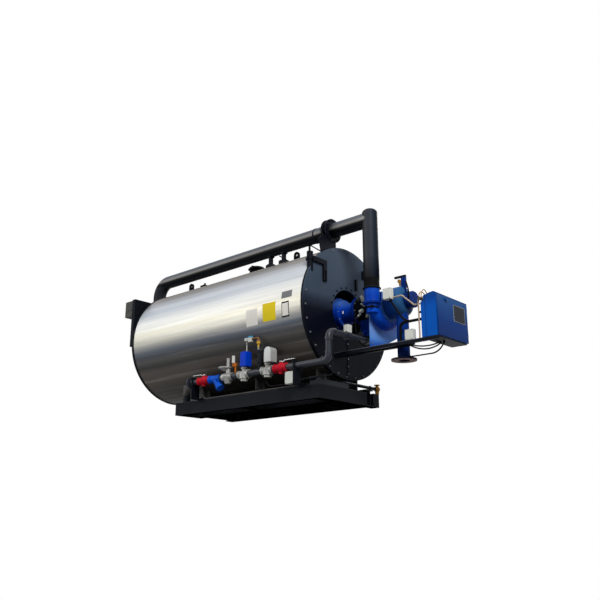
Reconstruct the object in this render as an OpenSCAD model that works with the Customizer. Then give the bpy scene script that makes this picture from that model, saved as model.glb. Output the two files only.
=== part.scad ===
// Horizontal fire-tube steam boiler on a skid, with burner, recirculation line and gas train.
// Millimetres, +Z up, +X towards the burner, ground plane at z = 0, middle of the shell at x = 0.

/* [Vessel] */
// Outside diameter of the black end rings and doors
ring_d = 2540; // [2440:10:2640]
// Step from the end rings down to the jacket
ring_lip = 10; // [6:1:20]
// Thickness of jacket, insulation and shell together
jacket_t = 60; // [20:5:100]
// Length between the outer faces of door and rear head
vessel_l = 5040; // [4900:20:5200]
// Height of the shell's underside above the ground
belly_z = 445; // [435:5:500]
// Thickness of each end ring
ring_t = 40; // [20:5:60]
// Width of each end ring
ring_w = 110; // [80:5:160]
// Thickness of the doors
door_t = 30; // [15:1:40]
// Thickness of the rear head
head_t = 20; // [10:1:40]
// Gap of the door seam
seam_gap = 4; // [2:1:10]
// Width of the seam strip
strip_w = 60; // [40:5:100]
// Thickness of the seam strip
strip_t = 10; // [6:1:16]

/* [Door davit] */
// Diameter of the davit post
post_d = 120; // [90:5:140]
// Height of the davit post above the ring's side
post_h = 230; // [150:10:280]
// Sideways place of the davit post
post_y = 1030; // [960:10:1060]
// Width of the davit's bracket on the door
bracket_w = 90; // [60:5:110]
// Height of the davit's bracket on the door
bracket_h = 400; // [300:10:460]
// Thickness of the davit's arm
arm_t = 45; // [30:1:60]

/* [Skid] */
// Length of the main beams
skid_l = 3820; // [3700:20:3900]
// Distance the skid reaches beyond the door
skid_over = 140; // [120:5:180]
// Depth of the main beams
beam_h = 310; // [280:5:330]
// Flange width of the main beams
beam_w = 200; // [150:5:220]
// Flange thickness of the main beams
beam_tf = 18; // [10:1:24]
// Web thickness of the main beams
beam_tw = 12; // [8:1:18]
// Distance from the middle to each main beam
beam_y = 450; // [420:5:480]
// Width of the cross members
cross_w = 180; // [120:5:200]
// Depth of the cross members
cross_h = 250; // [180:5:260]
// Distance from the shell's side in to the side channel
rail_in = 220; // [200:5:260]
// Depth of the side channel
rail_h = 250; // [220:5:260]
// Flange width of the side channel
rail_w = 90; // [60:5:110]
// Wall of the side channel
rail_t = 14; // [8:1:20]
// Thickness of the front end plate
nose_t = 20; // [10:1:30]
// Height of the front end plate
nose_h = 330; // [312:2:340]
// Half width of the saddles
saddle_y = 600; // [550:10:620]
// Thickness of the saddle plates
saddle_t = 25; // [15:1:40]
// Width of the saddle ribs
rib_w = 200; // [120:10:240]
// Gap between curved faces that seat on each other
seat_gap = 0.3; // [0.2:0.1:0.5]

/* [Rear smokebox] */
// Distance from the shell's side in to the rear plate's edge
plate_in = 20; // [10:5:60]
// Depth of the rear plate
plate_t = 100; // [60:5:140]
// Distance from the shell's top down to the rear plate's top
plate_drop = 290; // [270:10:340]
// Height of the rear plate
plate_h = 1080; // [900:20:1200]
// Depth of the cross duct behind the plate
duct_t = 310; // [300:5:360]
// Height of the cross duct
duct_h = 360; // [340:10:420]
// Distance from the plate's edge in to the duct's end
duct_in = 80; // [60:5:120]
// Thickness of each duct end cover
cover_t = 40; // [20:2:60]
// Wall of the sheet boxes
sheet_t = 8; // [5:1:12]
// Outside diameter of the stack outlet
stack_d = 290; // [250:5:295]
// Height of the stack outlet above the duct
stack_h = 260; // [160:10:320]
// Sideways place of the stack outlet
stack_y = 320; // [260:10:500]

/* [Burner] */
// Radius of the burner opening in the doors
hole_r = 450; // [420:5:480]
// Depth of the burner recess
tunnel_l = 420; // [380:10:500]
// Wall of the burner recess
tunnel_t = 20; // [10:1:30]
// Radius of the burner flange
bflange_r = 325; // [300:5:360]
// Radius of the second step
bstep_r = 265; // [240:5:290]
// Radius of the burner head
bhead_r = 180; // [160:5:190]
// Distance from the door to the register ring
reg_out = 260; // [240:5:280]
// Radius of the register ring
reg_r = 250; // [230:5:270]
// Thickness of the register ring
reg_t = 60; // [40:5:70]
// Radius of the neck between register and fan
neck_r = 190; // [180:5:200]
// Width of the gas block under the neck
block_w = 200; // [180:5:210]
// Height of the gas block below the axis
block_h = 410; // [380:10:430]
// Diameter of the gas throttle
throttle_d = 200; // [180:5:220]
// Height of the gas throttle
throttle_h = 110; // [90:5:120]
// Distance from the door to the fan
fan_out = 740; // [730:5:750]
// Outer radius of the fan's volute
volute_r = 465; // [440:5:470]
// Width of the fan's volute
volute_w = 220; // [210:5:230]
// Height of the volute's flat top above the axis
volute_top = 185; // [170:5:200]
// Sideways place of the recirculation inlet
drop_y = 390; // [380:5:395]
// Diameter of the volute's throat
throat_d = 215; // [200:5:218]
// Diameter of the recirculation stub
stub_d = 277; // [270:1:286]
// Height of the stub's clamp below the axis
clamp_z = 40; // [30:5:60]
// Diameter of the stub's clamp
clamp_d = 330; // [310:5:345]
// Height of the recirculation stub above the axis
stub_top = 240; // [230:5:250]
// Radius of the intake drum
drum_r = 275; // [265:5:285]
// Gap between fan and intake drum
drum_gap = 25; // [10:5:30]
// Length of the intake drum
drum_l = 240; // [230:5:250]
// Length of the intake drum's domed end
dome_l = 115; // [90:5:130]
// Radius of the fan motor
motor_r = 150; // [130:5:160]
// Length of the fan motor
motor_l = 150; // [120:5:160]
// Thickness of the post and arm on the fan motor
arm_w = 40; // [25:1:50]
// Width of the post
arm_post = 95; // [80:5:110]
// Height of the post's top above the axis
arm_top = 465; // [440:5:480]
// Reach of the arm
arm_l = 230; // [200:5:250]
// Diameter of the upright intake pipe
riser_d = 219.1; // [200:0.1:230]
// Wall of the upright intake pipe
riser_t = 8; // [5:1:12]
// Distance of the intake pipe's foot below the axis
riser_l = 1065; // [1000:5:1100]
// Diameter of the intake pipe's foot flange
riser_flange_d = 450; // [400:5:480]
// Thickness of the intake pipe's foot flange
riser_flange_t = 30; // [20:1:40]
// Thickness of the pedestal plate
ped_t = 20; // [12:1:24]
// Width of the pedestal plate
ped_w = 890; // [840:10:900]
// Sideways shift of the pedestal plate
ped_mid = 125; // [110:5:140]
// Height of the pedestal plate
ped_h = 670; // [640:5:680]
// Distance of the burner shelf below the axis
shelf_drop = 820; // [810:5:830]
// Thickness of the burner shelf
shelf_t = 20; // [12:1:24]
// Near edge of the burner shelf
shelf_y0 = 420; // [410:5:430]
// Width of the burner shelf
shelf_w = 300; // [290:5:310]
// Width of the rails under the burner shelf
srail_w = 50; // [40:5:60]
// Depth of the rails under the burner shelf
srail_h = 40; // [30:5:50]

/* [Control cabinet] */
// Half width of the cabinet
cab_y = 485; // [470:5:490]
// Sideways shift of the cabinet
cab_mid = 50; // [40:5:60]
// Height of the cabinet at its ridge
cab_h = 745; // [735:5:755]
// Height of the cabinet's front
cab_front_h = 695; // [690:5:700]
// Depth of the cabinet
cab_d = 325; // [320:5:330]
// Depth of the low step at the cabinet's back
cab_step = 55; // [45:5:65]
// Height of the low step at the cabinet's back
cab_step_h = 611; // [605:1:620]
// Distance of the ridge behind the front
ridge_in = 70; // [60:5:80]
// Wall of the cabinet
cab_t = 10; // [6:1:14]
// Thickness of the cabinet door
cdoor_t = 25; // [20:1:28]
// Gap round the cabinet door
cdoor_gap = 6; // [5:0.5:8]
// Diameter of the hinge knuckles
hinge_d = 20; // [18:1:24]
// Height of each hinge knuckle
hinge_h = 40; // [30:1:50]
// Diameter of the hinge pins
pin_d = 10; // [8:0.5:11]
// Running clearance of pins and spindles on the diameter
pin_gap = 0.1; // [0.1:0.1:0.3]
// Width of the screen
screen_w = 370; // [340:10:380]
// Height of the screen
screen_h = 280; // [260:10:290]
// Recess of the screen
screen_in = 10; // [6:1:12]
// Height of the screen's foot above the cabinet's foot
screen_z = 315; // [300:5:330]
// Diameter of the door's turn knob
knob_d = 64; // [50:2:70]

/* [Boxes and cables] */
// Width of the larger junction boxes
box_w = 190; // [170:5:200]
// Depth of the junction boxes
box_d = 100; // [80:5:110]
// Gap between the intake drum and its junction box
box_out = 75; // [60:5:85]
// Height of the larger junction boxes
box_h = 195; // [180:5:205]
// Diameter of the rigid conduits
cond_d = 27; // [20:1:30]
// Diameter of the thick cable
bundle_d = 50; // [40:2:56]
// Diameter of the other cables
cable_d = 24; // [18:1:28]

/* [Recirculation line] */
// Outside diameter of the recirculation pipe
fgr_d = 286; // [276:2:290]
// Wall of the recirculation pipe
fgr_t = 8; // [6:1:12]
// Bend radius of the recirculation pipe
fgr_bend = 330; // [310:10:350]
// Height of the pipe above the shell's top
fgr_rise = 286; // [280:2:320]
// Length of the flexible coupling
coup_l = 170; // [160:5:180]
// Wall of the flexible coupling
coup_t = 30; // [20:1:40]
// Diameter of the damper flanges
fgr_flange_d = 470; // [450:5:480]
// Thickness of each damper flange
fgr_flange_t = 30; // [20:1:40]
// Gap between the damper flanges
fgr_flange_gap = 60; // [50:5:70]
// Distance of the damper behind the door
damper_in = 130; // [120:5:140]
// Width of the pipe's support
support_w = 300; // [280:5:320]
// Thickness of the pipe's support
support_t = 20; // [12:1:24]
// Width of the feet of the posts under the pipe
foot_w = 180; // [150:5:200]

/* [Gas train] */
// Outside diameter of the gas pipe
gas_d = 114.3; // [110:0.1:118]
// Wall of the gas pipe
gas_t = 6; // [4:0.5:9]
// Distance of the gas train outside the side channel
gas_out = 105; // [105:1:120]
// Height of the gas train above the ground
gas_z = 590; // [585:5:595]
// Distance of the run to the burner below the axis
gas_drop = 615; // [610:5:630]
// Bend radius of the gas pipe
gas_bend = 115; // [110:5:120]
// Bend radius of the last elbow under the burner
end_bend = 85; // [80:1:90]
// Extra diameter of the screwed fittings
collar = 24; // [12:2:30]
// Length of the screwed fittings' collars
collar_l = 45; // [30:5:50]
// Diameter of the gas inlet flange
gasf_d = 228.6; // [225:0.1:235]
// Thickness of the gas inlet flange
gasf_t = 24; // [18:1:30]
// Bolt circle of the gas inlet flange
gasf_pcd = 190.5; // [188:0.5:194]
// Bolt hole of the gas inlet flange
gasf_hole = 19; // [16:0.1:22]
// Length of the ball valves
cock_l = 300; // [290:5:310]
// Diameter of the ball valves
cock_d = 180; // [160:5:190]
// Height of the ball valves' stems
cock_h = 105; // [100:1:115]
// Length of the valve levers
lever_l = 330; // [300:5:340]
// Thickness of the valve levers
lever_t = 12; // [8:1:14]
// Diameter of the levers' hubs
hub_d = 64; // [56:2:70]
// Diameter of the valve spindles
spin_d = 34; // [28:1:38]
// Length of the strainer
strain_l = 300; // [290:5:310]
// Length of the regulator
reg_l = 260; // [250:5:270]
// Diameter of the regulator's diaphragm
dia_d = 290; // [270:5:300]
// Length of the safety valves
valve_l = 260; // [250:2:264]
// Diameter of the safety valves' bodies
valve_d = 190; // [180:2:200]
// Height of the safety valves' bodies
valve_h = 130; // [125:1:135]
// Width of the actuators
act_w = 165; // [150:5:170]
// Height of the actuators
act_h = 275; // [260:5:285]
// Diameter of the vent branch
vent_d = 100; // [90:2:104]
// Distance of the vent branch's top below the axis
vent_drop = 725; // [715:5:745]
// Gap between the jacket and the vent's switches
vent_gap = 5; // [5:1:15]
// Diameter of the small pipes
small_d = 34; // [26:1:36]
// Diameter of the riser's thin drain pipe
tap_d = 20; // [16:1:24]

/* [Top fittings] */
// Diameter of the manway cover
man_d = 380; // [360:10:400]
// Height of the manway cover above the shell
man_h = 150; // [130:5:160]
// Pipe diameter of the steam nozzle
steam_d = 114.3; // [110:0.1:118]
// Flange diameter of the steam nozzle
steam_flange_d = 228.6; // [225:0.1:235]
// Bolt circle of the steam nozzle
steam_pcd = 190.5; // [188:0.5:194]
// Height of the nozzles above the jacket
nozzle_h = 160; // [140:5:180]
// Thickness of the nozzle flanges
flange_t = 24; // [20:1:28]
// Bolt hole of the nozzle flanges
flange_hole = 19; // [16:0.1:22]
// Pipe diameter of the relief nozzle
relief_d = 88.9; // [80:0.1:95]
// Flange diameter of the relief nozzle
relief_flange_d = 190.5; // [185:0.1:200]
// Bolt circle of the relief nozzle
relief_pcd = 152.4; // [150:0.1:155]
// Thickness of the lifting lugs
lug_t = 40; // [30:1:50]
// Width of the lifting lugs
lug_w = 140; // [120:5:160]
// Height of the lifting lugs
lug_h = 280; // [260:5:290]
// Eye diameter of the lifting lugs
lug_eye = 60; // [50:1:66]
// Diameter of the drain pipe
drain_d = 60; // [50:1:66]

/* [Hidden] */
$fn = 64;
black = [0.08, 0.09, 0.11];
blue = [0.02, 0.25, 0.75];
steel = [0.72, 0.72, 0.70];
red = [0.78, 0.12, 0.16];
grey = [0.55, 0.56, 0.58];
white = [0.90, 0.90, 0.86];
ring_r = ring_d / 2;
axis_z = belly_z + ring_r;
jacket_d = ring_d - 2 * ring_lip;
jacket_r = jacket_d / 2;
top_z = axis_z + jacket_r;
front_x = vessel_l / 2;
rear_x = -vessel_l / 2;
ring_fx = front_x - door_t;
ring_rx = rear_x + head_t;
jacket_fx = ring_fx - ring_t;
jacket_rx = ring_rx + ring_t;
jacket_l = jacket_fx - jacket_rx;
skid_fx = front_x + skid_over;
skid_x = skid_fx - skid_l;
rail_y = ring_r - rail_in;
saddle_xs = [skid_x + 260, skid_x + skid_l / 2 - 50, skid_fx - 410];
cross_xs = [saddle_xs[0], front_x - 2520, front_x - 1520, saddle_xs[2], skid_fx - cross_w / 2];
plate_y = ring_r - plate_in;
plate_top = axis_z + ring_r - plate_drop;
duct_y = plate_y - duct_in;
duct_z = plate_top - duct_h;
duct_rx = rear_x - plate_t - duct_t;
fgr_y = -drop_y;
fgr_az = axis_z + ring_r + fgr_rise;
fgr_rx = rear_x - plate_t - duct_t / 2;
damper_x = front_x - damper_in;
shelf_z = axis_z - shelf_drop;
shelf_x0 = front_x + 440;
fan_x = front_x + fan_out;
drop_x = fan_x + volute_w / 2;
drum_x = fan_x + volute_w + drum_gap;
dome_x = drum_x + drum_l;
motor_x = dome_x + dome_l;
riser_x = drum_x + 230;
cab_x2 = front_x + 1865;
cab_x1 = cab_x2 + cab_step;
cab_x0 = cab_x2 + cab_d;
cab_y0 = cab_mid - cab_y;
cab_y1 = cab_mid + cab_y;
hinge_x = cab_x0 - cdoor_t - cdoor_gap / 2;
hinge_y = cab_y1 + 14;
hinge_zs = [shelf_z + 80, shelf_z + 540];
box_x = drum_x + 135;
gas_y = -(rail_y + gas_out);
inlet_x = front_x - 3110;
cock_xs = [front_x - 2697, front_x - 631];
strainer_x = front_x - 2370;
reg_x = front_x - 2015;
valve_xs = [front_x - 1571, front_x - 961];
vent_x = front_x - 1150;
bracket_xs = [front_x - 2990, front_x - 280];
riser_gx = front_x + 470;
act_z = gas_z + valve_h + 8;
gas_rise = axis_z - gas_drop - gas_z;
vent_z = axis_z - vent_drop;
vent_h = vent_z - gas_z;
vent_top = vent_z + 284;
vent_y = -sqrt(jacket_r * jacket_r - (axis_z - vent_top) * (axis_z - vent_top)) - vent_gap - 30;
man_x = front_x - 2450;
hatch_x = rear_x + 900;
steam_x = front_x - 1650;
relief_x = front_x - 2025;
lug_xs = [front_x - 1290, rear_x + 430];
post_xs = [front_x - 1654, front_x - 1293];

module ring(d, t) {
    difference() {
        circle(d = d);
        if (t > 0)
            circle(d = d - 2 * t);
    }
}

module tube_x(d, t, l, $fn = $fn) {
    rotate([0, 90, 0])
        linear_extrude(l)
            ring(d, t);
}

module tube_z(d, t, l) {
    linear_extrude(l)
        ring(d, t);
}

module rod_x(d, l, $fn = $fn) {
    rotate([0, 90, 0])
        cylinder(d = d, h = l);
}

module rod_y(d, l) {
    rotate([-90, 0, 0])
        cylinder(d = d, h = l);
}

// a pipe along +x; each step is a length, a turn, the side it turns to and its bend radius
module run(d, t, steps, c = 0, cl = 0, i = 0) {
    s = steps[i];
    turns = len(s) > 1;
    lap = t > 0 || c == 0 ? 0 : 3;
    wall = t > 0 ? t + c / 2 : 0;
    elbow = t > 0 ? t + c / 4 : 0;
    x0 = i > 0 ? -lap : 0;
    translate([x0, 0, 0])
        tube_x(d, t, s[0] - x0 + (turns ? lap : 0));
    if (cl > 0 && i > 0 && s[0] > cl)
        translate([x0, 0, 0])
            tube_x(d + c, wall, cl);
    if (cl > 0 && turns)
        translate([s[0] - cl + lap, 0, 0])
            tube_x(d + c, wall, cl);
    if (turns)
        translate([s[0], 0, 0])
            rotate([s[2], 0, 0]) {
                translate([0, s[3], 0])
                    rotate([0, 0, -90])
                        rotate_extrude(angle = s[1])
                            translate([s[3], 0])
                                ring(d + c / 2, elbow);
                translate([s[3] * sin(s[1]), s[3] * (1 - cos(s[1])), 0])
                    rotate([0, 0, s[1]])
                        run(d, t, steps, c, cl, i + 1);
            }
}

// a cable that hangs in one arc from a to b
module sag(a, b, drop, d) {
    v = b - a;
    l = norm(v);
    r = (l * l / 4 + drop * drop) / (2 * drop);
    w = 2 * asin(l / 2 / r);
    translate(a)
        rotate([0, -asin(v[2] / l), atan2(v[1], v[0])])
            translate([l / 2, 0, r - drop])
                rotate([90, 0, 0])
                    rotate([0, 0, 270 - w / 2])
                        rotate_extrude(angle = w)
                            translate([r, 0])
                                circle(d = d);
}

// a rectangle with round corners
module pad(w, h, r) {
    translate([-w / 2 + r, -h / 2])
        square([w - 2 * r, h]);
    translate([-w / 2, -h / 2 + r])
        square([w, h - 2 * r]);
    for (x = [-1, 1])
        for (y = [-1, 1])
            translate([x * (w / 2 - r), y * (h / 2 - r)])
                circle(r = r);
}

module shell_space(extra) {
    translate([jacket_rx, 0, axis_z])
        rod_x(jacket_d + 2 * extra, jacket_l, $fn = 180);
}

module beam_section() {
    translate([-beam_w / 2, 0])
        square([beam_w, beam_tf]);
    translate([-beam_w / 2, beam_h - beam_tf])
        square([beam_w, beam_tf]);
    translate([-beam_tw / 2, 0])
        square([beam_tw, beam_h]);
}

module skid_beams() {
    color(black)
        for (s = [-1, 1])
            translate([skid_x, s * beam_y, 0])
                rotate([90, 0, 90])
                    linear_extrude(skid_l)
                        beam_section();
}

module skid_cross() {
    inner = 2 * beam_y - beam_w;
    color(black) {
        for (x = cross_xs)
            translate([x - cross_w / 2, -inner / 2, 0])
                cube([cross_w, inner, cross_h]);
        translate([skid_fx - cross_w, beam_y + beam_w / 2, 0])
            cube([cross_w, cross_w, cross_h]);
    }
}

module side_rail() {
    reach = rail_y - beam_y - beam_w / 2;
    bay = (skid_l - 3 * cross_w) / 2;
    color(black) {
        translate([skid_x, -rail_y, 0])
            rotate([90, 0, 90])
                linear_extrude(skid_l)
                    difference() {
                        square([rail_w, rail_h]);
                        translate([rail_t, rail_t])
                            square([rail_w, rail_h - 2 * rail_t]);
                    }
        for (i = [0, 1, 2])
            translate([skid_x + i * (bay + cross_w), -rail_y + 1, 0])
                cube([cross_w, reach - 1, i > 1 ? beam_h : rail_h]);
        translate([skid_fx, -rail_y, 0])
            cube([nose_t, rail_y - beam_y / 2, nose_h]);
        translate([skid_x + 240, -rail_y + rail_w - 5, rail_h - 1])
            cylinder(d = 150, h = gas_z - rail_h + 10);
    }
}

module saddle_plate() {
    difference() {
        translate([-saddle_y, beam_h])
            square([2 * saddle_y, ring_r]);
        translate([0, axis_z])
            circle(r = jacket_r + seat_gap, $fn = 180);
    }
}

module saddles() {
    color(black)
        for (x = saddle_xs) {
            translate([x - saddle_t / 2, 0, 0])
                rotate([90, 0, 90])
                    linear_extrude(saddle_t)
                        saddle_plate();
            intersection() {
                translate([x - rib_w / 2, 0, 0])
                    rotate([90, 0, 90])
                        linear_extrude(rib_w)
                            saddle_plate();
                for (y = [-beam_y, -beam_y / 3, beam_y / 3, beam_y])
                    translate([x - rib_w / 2, y - saddle_t / 2, beam_h])
                        cube([rib_w, saddle_t, ring_r]);
            }
            translate([x - rib_w / 2, -saddle_y, beam_h])
                cube([rib_w, 2 * saddle_y, saddle_t]);
        }
}

module jacket() {
    color(steel)
        translate([jacket_rx, 0, axis_z])
            tube_x(jacket_d, jacket_t, jacket_l, $fn = 180);
}

module end_rings() {
    color(black)
        for (x = [ring_rx, jacket_fx])
            translate([x, 0, axis_z])
                tube_x(ring_d, ring_w, ring_t, $fn = 180);
}

module rear_head() {
    color(black)
        translate([rear_x, 0, axis_z])
            rod_x(ring_d, head_t, $fn = 180);
}

module smokebox() {
    color(black) {
        translate([rear_x - plate_t, -plate_y, plate_top - plate_h])
            cube([plate_t, 2 * plate_y, plate_h]);
        difference() {
            translate([duct_rx, -duct_y, duct_z])
                cube([duct_t + 1, 2 * duct_y, duct_h]);
            translate([duct_rx + sheet_t, -duct_y - 1, duct_z + sheet_t])
                cube([duct_t - 2 * sheet_t, 2 * duct_y + 2, duct_h - 2 * sheet_t]);
            translate([fgr_rx, fgr_y, duct_z + duct_h / 2])
                cylinder(d = fgr_d - 2 * fgr_t, h = duct_h);
            translate([fgr_rx, stack_y, duct_z + duct_h / 2])
                cylinder(d = stack_d - 2 * sheet_t, h = duct_h);
        }
    }
}

module smokebox_covers() {
    color(grey)
        for (s = [-1, 1])
            translate([duct_rx + duct_t / 2, s * duct_y, duct_z + duct_h / 2])
                rotate([-90 * s, 0, 0])
                    linear_extrude(cover_t)
                        pad(duct_t, duct_h, sheet_t);
}

module stack_outlet() {
    color(black)
        translate([fgr_rx, stack_y, plate_top]) {
            tube_z(stack_d, sheet_t, stack_h);
            tube_z(stack_d + 2 * sheet_t, 2 * sheet_t, 3 * sheet_t);
        }
}

module door_half() {
    intersection() {
        difference() {
            rod_x(ring_d, door_t, $fn = 180);
            translate([-1, 0, 0])
                rod_x(2 * hole_r, door_t + 2, $fn = 96);
        }
        translate([-1, seam_gap / 2, -ring_d])
            cube([door_t + 2, ring_d, 2 * ring_d]);
    }
}

module door_near() {
    color(black) {
        translate([ring_fx, 0, axis_z])
            mirror([0, 1, 0])
                door_half();
        translate([front_x, -strip_w / 2, axis_z - ring_r + 40])
            cube([strip_t, strip_w / 2 - seam_gap / 2, ring_r - hole_r - 90]);
    }
}

module door_far() {
    color(black)
        translate([ring_fx, 0, axis_z])
            door_half();
}

module door_davits() {
    post_x = ring_fx - ring_t / 2;
    post_z = axis_z + sqrt(ring_r * ring_r - post_y * post_y);
    bx = post_y - 330;
    color(black) {
        difference() {
            union() {
                translate([post_x, -post_y, post_z - 150])
                    cylinder(d = post_d, h = post_h + 150);
                translate([post_x, -post_y, post_z + 70])
                    cylinder(d = post_d + 40, h = 40);
                translate([post_x - arm_t / 2, -post_y, post_z + 40])
                    cube([front_x + arm_t - post_x, arm_t, 2 * arm_t]);
                translate([front_x, -post_y, post_z + 40])
                    cube([arm_t, post_y - bx + bracket_w / 2, 2 * arm_t]);
                translate([front_x, -bx - bracket_w / 2, post_z + 130 - bracket_h])
                    cube([arm_t, bracket_w, bracket_h]);
            }
            translate([ring_fx - ring_t - 100, 0, axis_z])
                rod_x(ring_d + 2 * seat_gap, ring_t + 100 + door_t, $fn = 180);
            translate([front_x + arm_t / 2, -bx - bracket_w / 4, post_z + 30 - bracket_h])
                cube([arm_t, bracket_w / 2, bracket_h - 100]);
        }
        for (p = [[bx - 240, 780, 170], [bx - 470, 500, 220]])
            translate([front_x, p[0], axis_z + p[1]])
                cube([arm_t, arm_t, p[2]]);
    }
}

module burner_tunnel() {
    color(black)
        translate([ring_fx - tunnel_l, 0, axis_z]) {
            tube_x(2 * hole_r + 2 * tunnel_t, tunnel_t, tunnel_l, $fn = 96);
            rod_x(2 * hole_r + 1, tunnel_t, $fn = 96);
        }
}

module burner_head() {
    x0 = ring_fx - tunnel_l + tunnel_t;
    color(blue)
        translate([0, 0, axis_z]) {
            translate([x0, 0, 0])
                rod_x(2 * bhead_r, front_x + reg_out - x0);
            translate([front_x - 220, 0, 0])
                rod_x(2 * bflange_r, 60);
            translate([front_x - 161, 0, 0])
                rod_x(2 * bstep_r, 110);
            translate([front_x + reg_out - 40, 0, 0])
                rod_x(2 * bhead_r + 40, 40);
        }
}

module register_ring() {
    color(black)
        translate([front_x + reg_out, 0, axis_z]) {
            rod_x(2 * reg_r, reg_t);
            rod_x(2 * neck_r, fan_out - reg_out);
            translate([riser_gx - front_x - reg_out - block_w / 2, -block_w / 2, -block_h])
                cube([block_w, block_w, block_h - 100]);
        }
}

module gas_throttle() {
    color(blue)
        translate([riser_gx, 0, axis_z - block_h - throttle_h]) {
            cylinder(d = throttle_d, h = throttle_h / 4);
            cylinder(d = throttle_d - 40, h = throttle_h);
            translate([0, 0, throttle_h * 3 / 4])
                cylinder(d = throttle_d, h = throttle_h / 4);
            translate([0, -throttle_d / 2 - 60, throttle_h / 2])
                rod_y(throttle_h / 2 - 6, throttle_d / 2 + 60);
        }
}

module volute_profile() {
    q = volute_w / 2;
    a0 = volute_r - q;
    polygon(concat([[0, 0]],
        [for (a = [-90:10:90]) [a0 + q * cos(a), q + q * sin(a)]],
        [[a0 - 20, volute_w], [a0 - 20, volute_w + 10], [0, volute_w + 10]]));
}

module fan_scroll() {
    color(blue) {
        difference() {
            union() {
                intersection() {
                    translate([fan_x, 0, axis_z])
                        rotate([0, 90, 0])
                            rotate_extrude($fn = 96)
                                volute_profile();
                    translate([fan_x - 1, -volute_r - 1, axis_z - volute_r - 1])
                        cube([volute_w + 30, 2 * volute_r + 2, volute_r + volute_top]);
                }
                translate([drop_x, fgr_y, axis_z - 220])
                    cylinder(d = throat_d, h = 220 - clamp_z);
            }
            translate([drop_x, fgr_y, axis_z - clamp_z])
                cylinder(d = clamp_d, h = stub_top + 100);
        }
        translate([drop_x, fgr_y, axis_z - clamp_z - 1])
            cylinder(d = stub_d, h = stub_top + clamp_z + 1);
        translate([drop_x, fgr_y, axis_z - clamp_z - 12])
            cylinder(d = clamp_d, h = 12);
        translate([drop_x, fgr_y, axis_z - clamp_z + 12])
            cylinder(d = clamp_d - 10, h = 12);
    }
}

module intake_shape(g) {
    translate([drum_x, 0, axis_z])
        rotate([0, 90, 0])
            rotate_extrude($fn = 96)
                polygon(concat(
                    [[0, -g], [drum_r - 20, -g], [drum_r + g, 20], [drum_r + g, drum_l]],
                    [for (a = [10:10:90])
                        [motor_r + g + (drum_r - motor_r) * cos(a), drum_l + dome_l * sin(a)]],
                    [[motor_r + g, drum_l + dome_l + motor_l - 15],
                     [motor_r - 15, drum_l + dome_l + motor_l + g],
                     [0, drum_l + dome_l + motor_l + g]]));
}

module intake_housing() {
    color(blue) {
        intake_shape(0);
        translate([drum_x - drum_gap + 10, 0, axis_z])
            rod_x(2 * motor_r, drum_gap);
    }
}

module intake_riser() {
    color(blue)
        difference() {
            translate([riser_x, 0, axis_z - riser_l]) {
                cylinder(d = riser_d, h = riser_l);
                cylinder(d = riser_flange_d, h = riser_flange_t);
            }
            translate([riser_x, 0, axis_z - riser_l - 1])
                cylinder(d = riser_d - 2 * riser_t, h = riser_l - drum_r - 9);
            intake_shape(seat_gap);
        }
}

module tower_bracket() {
    color(blue)
        difference() {
            translate([motor_x + 10, -50, axis_z]) {
                translate([-arm_post, -arm_w / 2, 0])
                    cube([arm_post, arm_w, arm_top]);
                translate([-arm_l, -arm_w / 2, arm_top - 35])
                    cube([arm_l, arm_w, 35]);
            }
            intake_shape(seat_gap);
        }
}

module pedestal() {
    color(blue)
        difference() {
            translate([fan_x - ped_t, ped_mid - ped_w / 2, shelf_z])
                cube([ped_t, ped_w, ped_h]);
            translate([fan_x - ped_t - 1, 0, axis_z])
                rod_x(2 * neck_r + 2 * seat_gap, ped_t + 2);
        }
}

module burner_shelf() {
    x1 = cab_x2 - 335;
    face = cab_x0 - cdoor_t - cdoor_gap;
    color(black)
        difference() {
            union() {
                translate([shelf_x0, -shelf_y0, shelf_z - shelf_t])
                    cube([x1 - shelf_x0, shelf_w, shelf_t]);
                translate([front_x, -shelf_y0, shelf_z - shelf_t - srail_h])
                    cube([face - front_x, srail_w, srail_h]);
                translate([front_x, -shelf_y0, shelf_z - shelf_t])
                    cube([face - front_x, srail_w, shelf_t]);
                translate([front_x, -shelf_y0 + shelf_w - 130, shelf_z - shelf_t - srail_h])
                    cube([x1 - front_x, srail_w, srail_h + 1]);
                translate([front_x, -shelf_y0, shelf_z - shelf_t - srail_h])
                    cube([srail_w, shelf_w - 90, srail_h]);
                translate([cab_x2 - 355, -shelf_y0, shelf_z - shelf_t])
                    cube([180, box_d + 10, shelf_t]);
                translate([cab_x2, -shelf_y0, shelf_z - shelf_t])
                    cube([face - cab_x2, shelf_y0 + cab_y1 - 10, shelf_t]);
            }
            translate([riser_x, 0, shelf_z - 2 * srail_h])
                cylinder(d = riser_d + 20, h = 4 * srail_h);
        }
}

module hinge_leaf(x0, x1, z, bore) {
    difference() {
        translate([0, 0, z])
            union() {
                translate([hinge_x, hinge_y, 0])
                    cylinder(d = hinge_d, h = hinge_h);
                translate([x0, cab_y1, 0])
                    cube([x1 - x0, hinge_y - cab_y1, hinge_h]);
            }
        if (bore)
            translate([hinge_x, hinge_y, z - 1])
                cylinder(d = pin_d + pin_gap, h = hinge_h + 2);
    }
}

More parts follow.
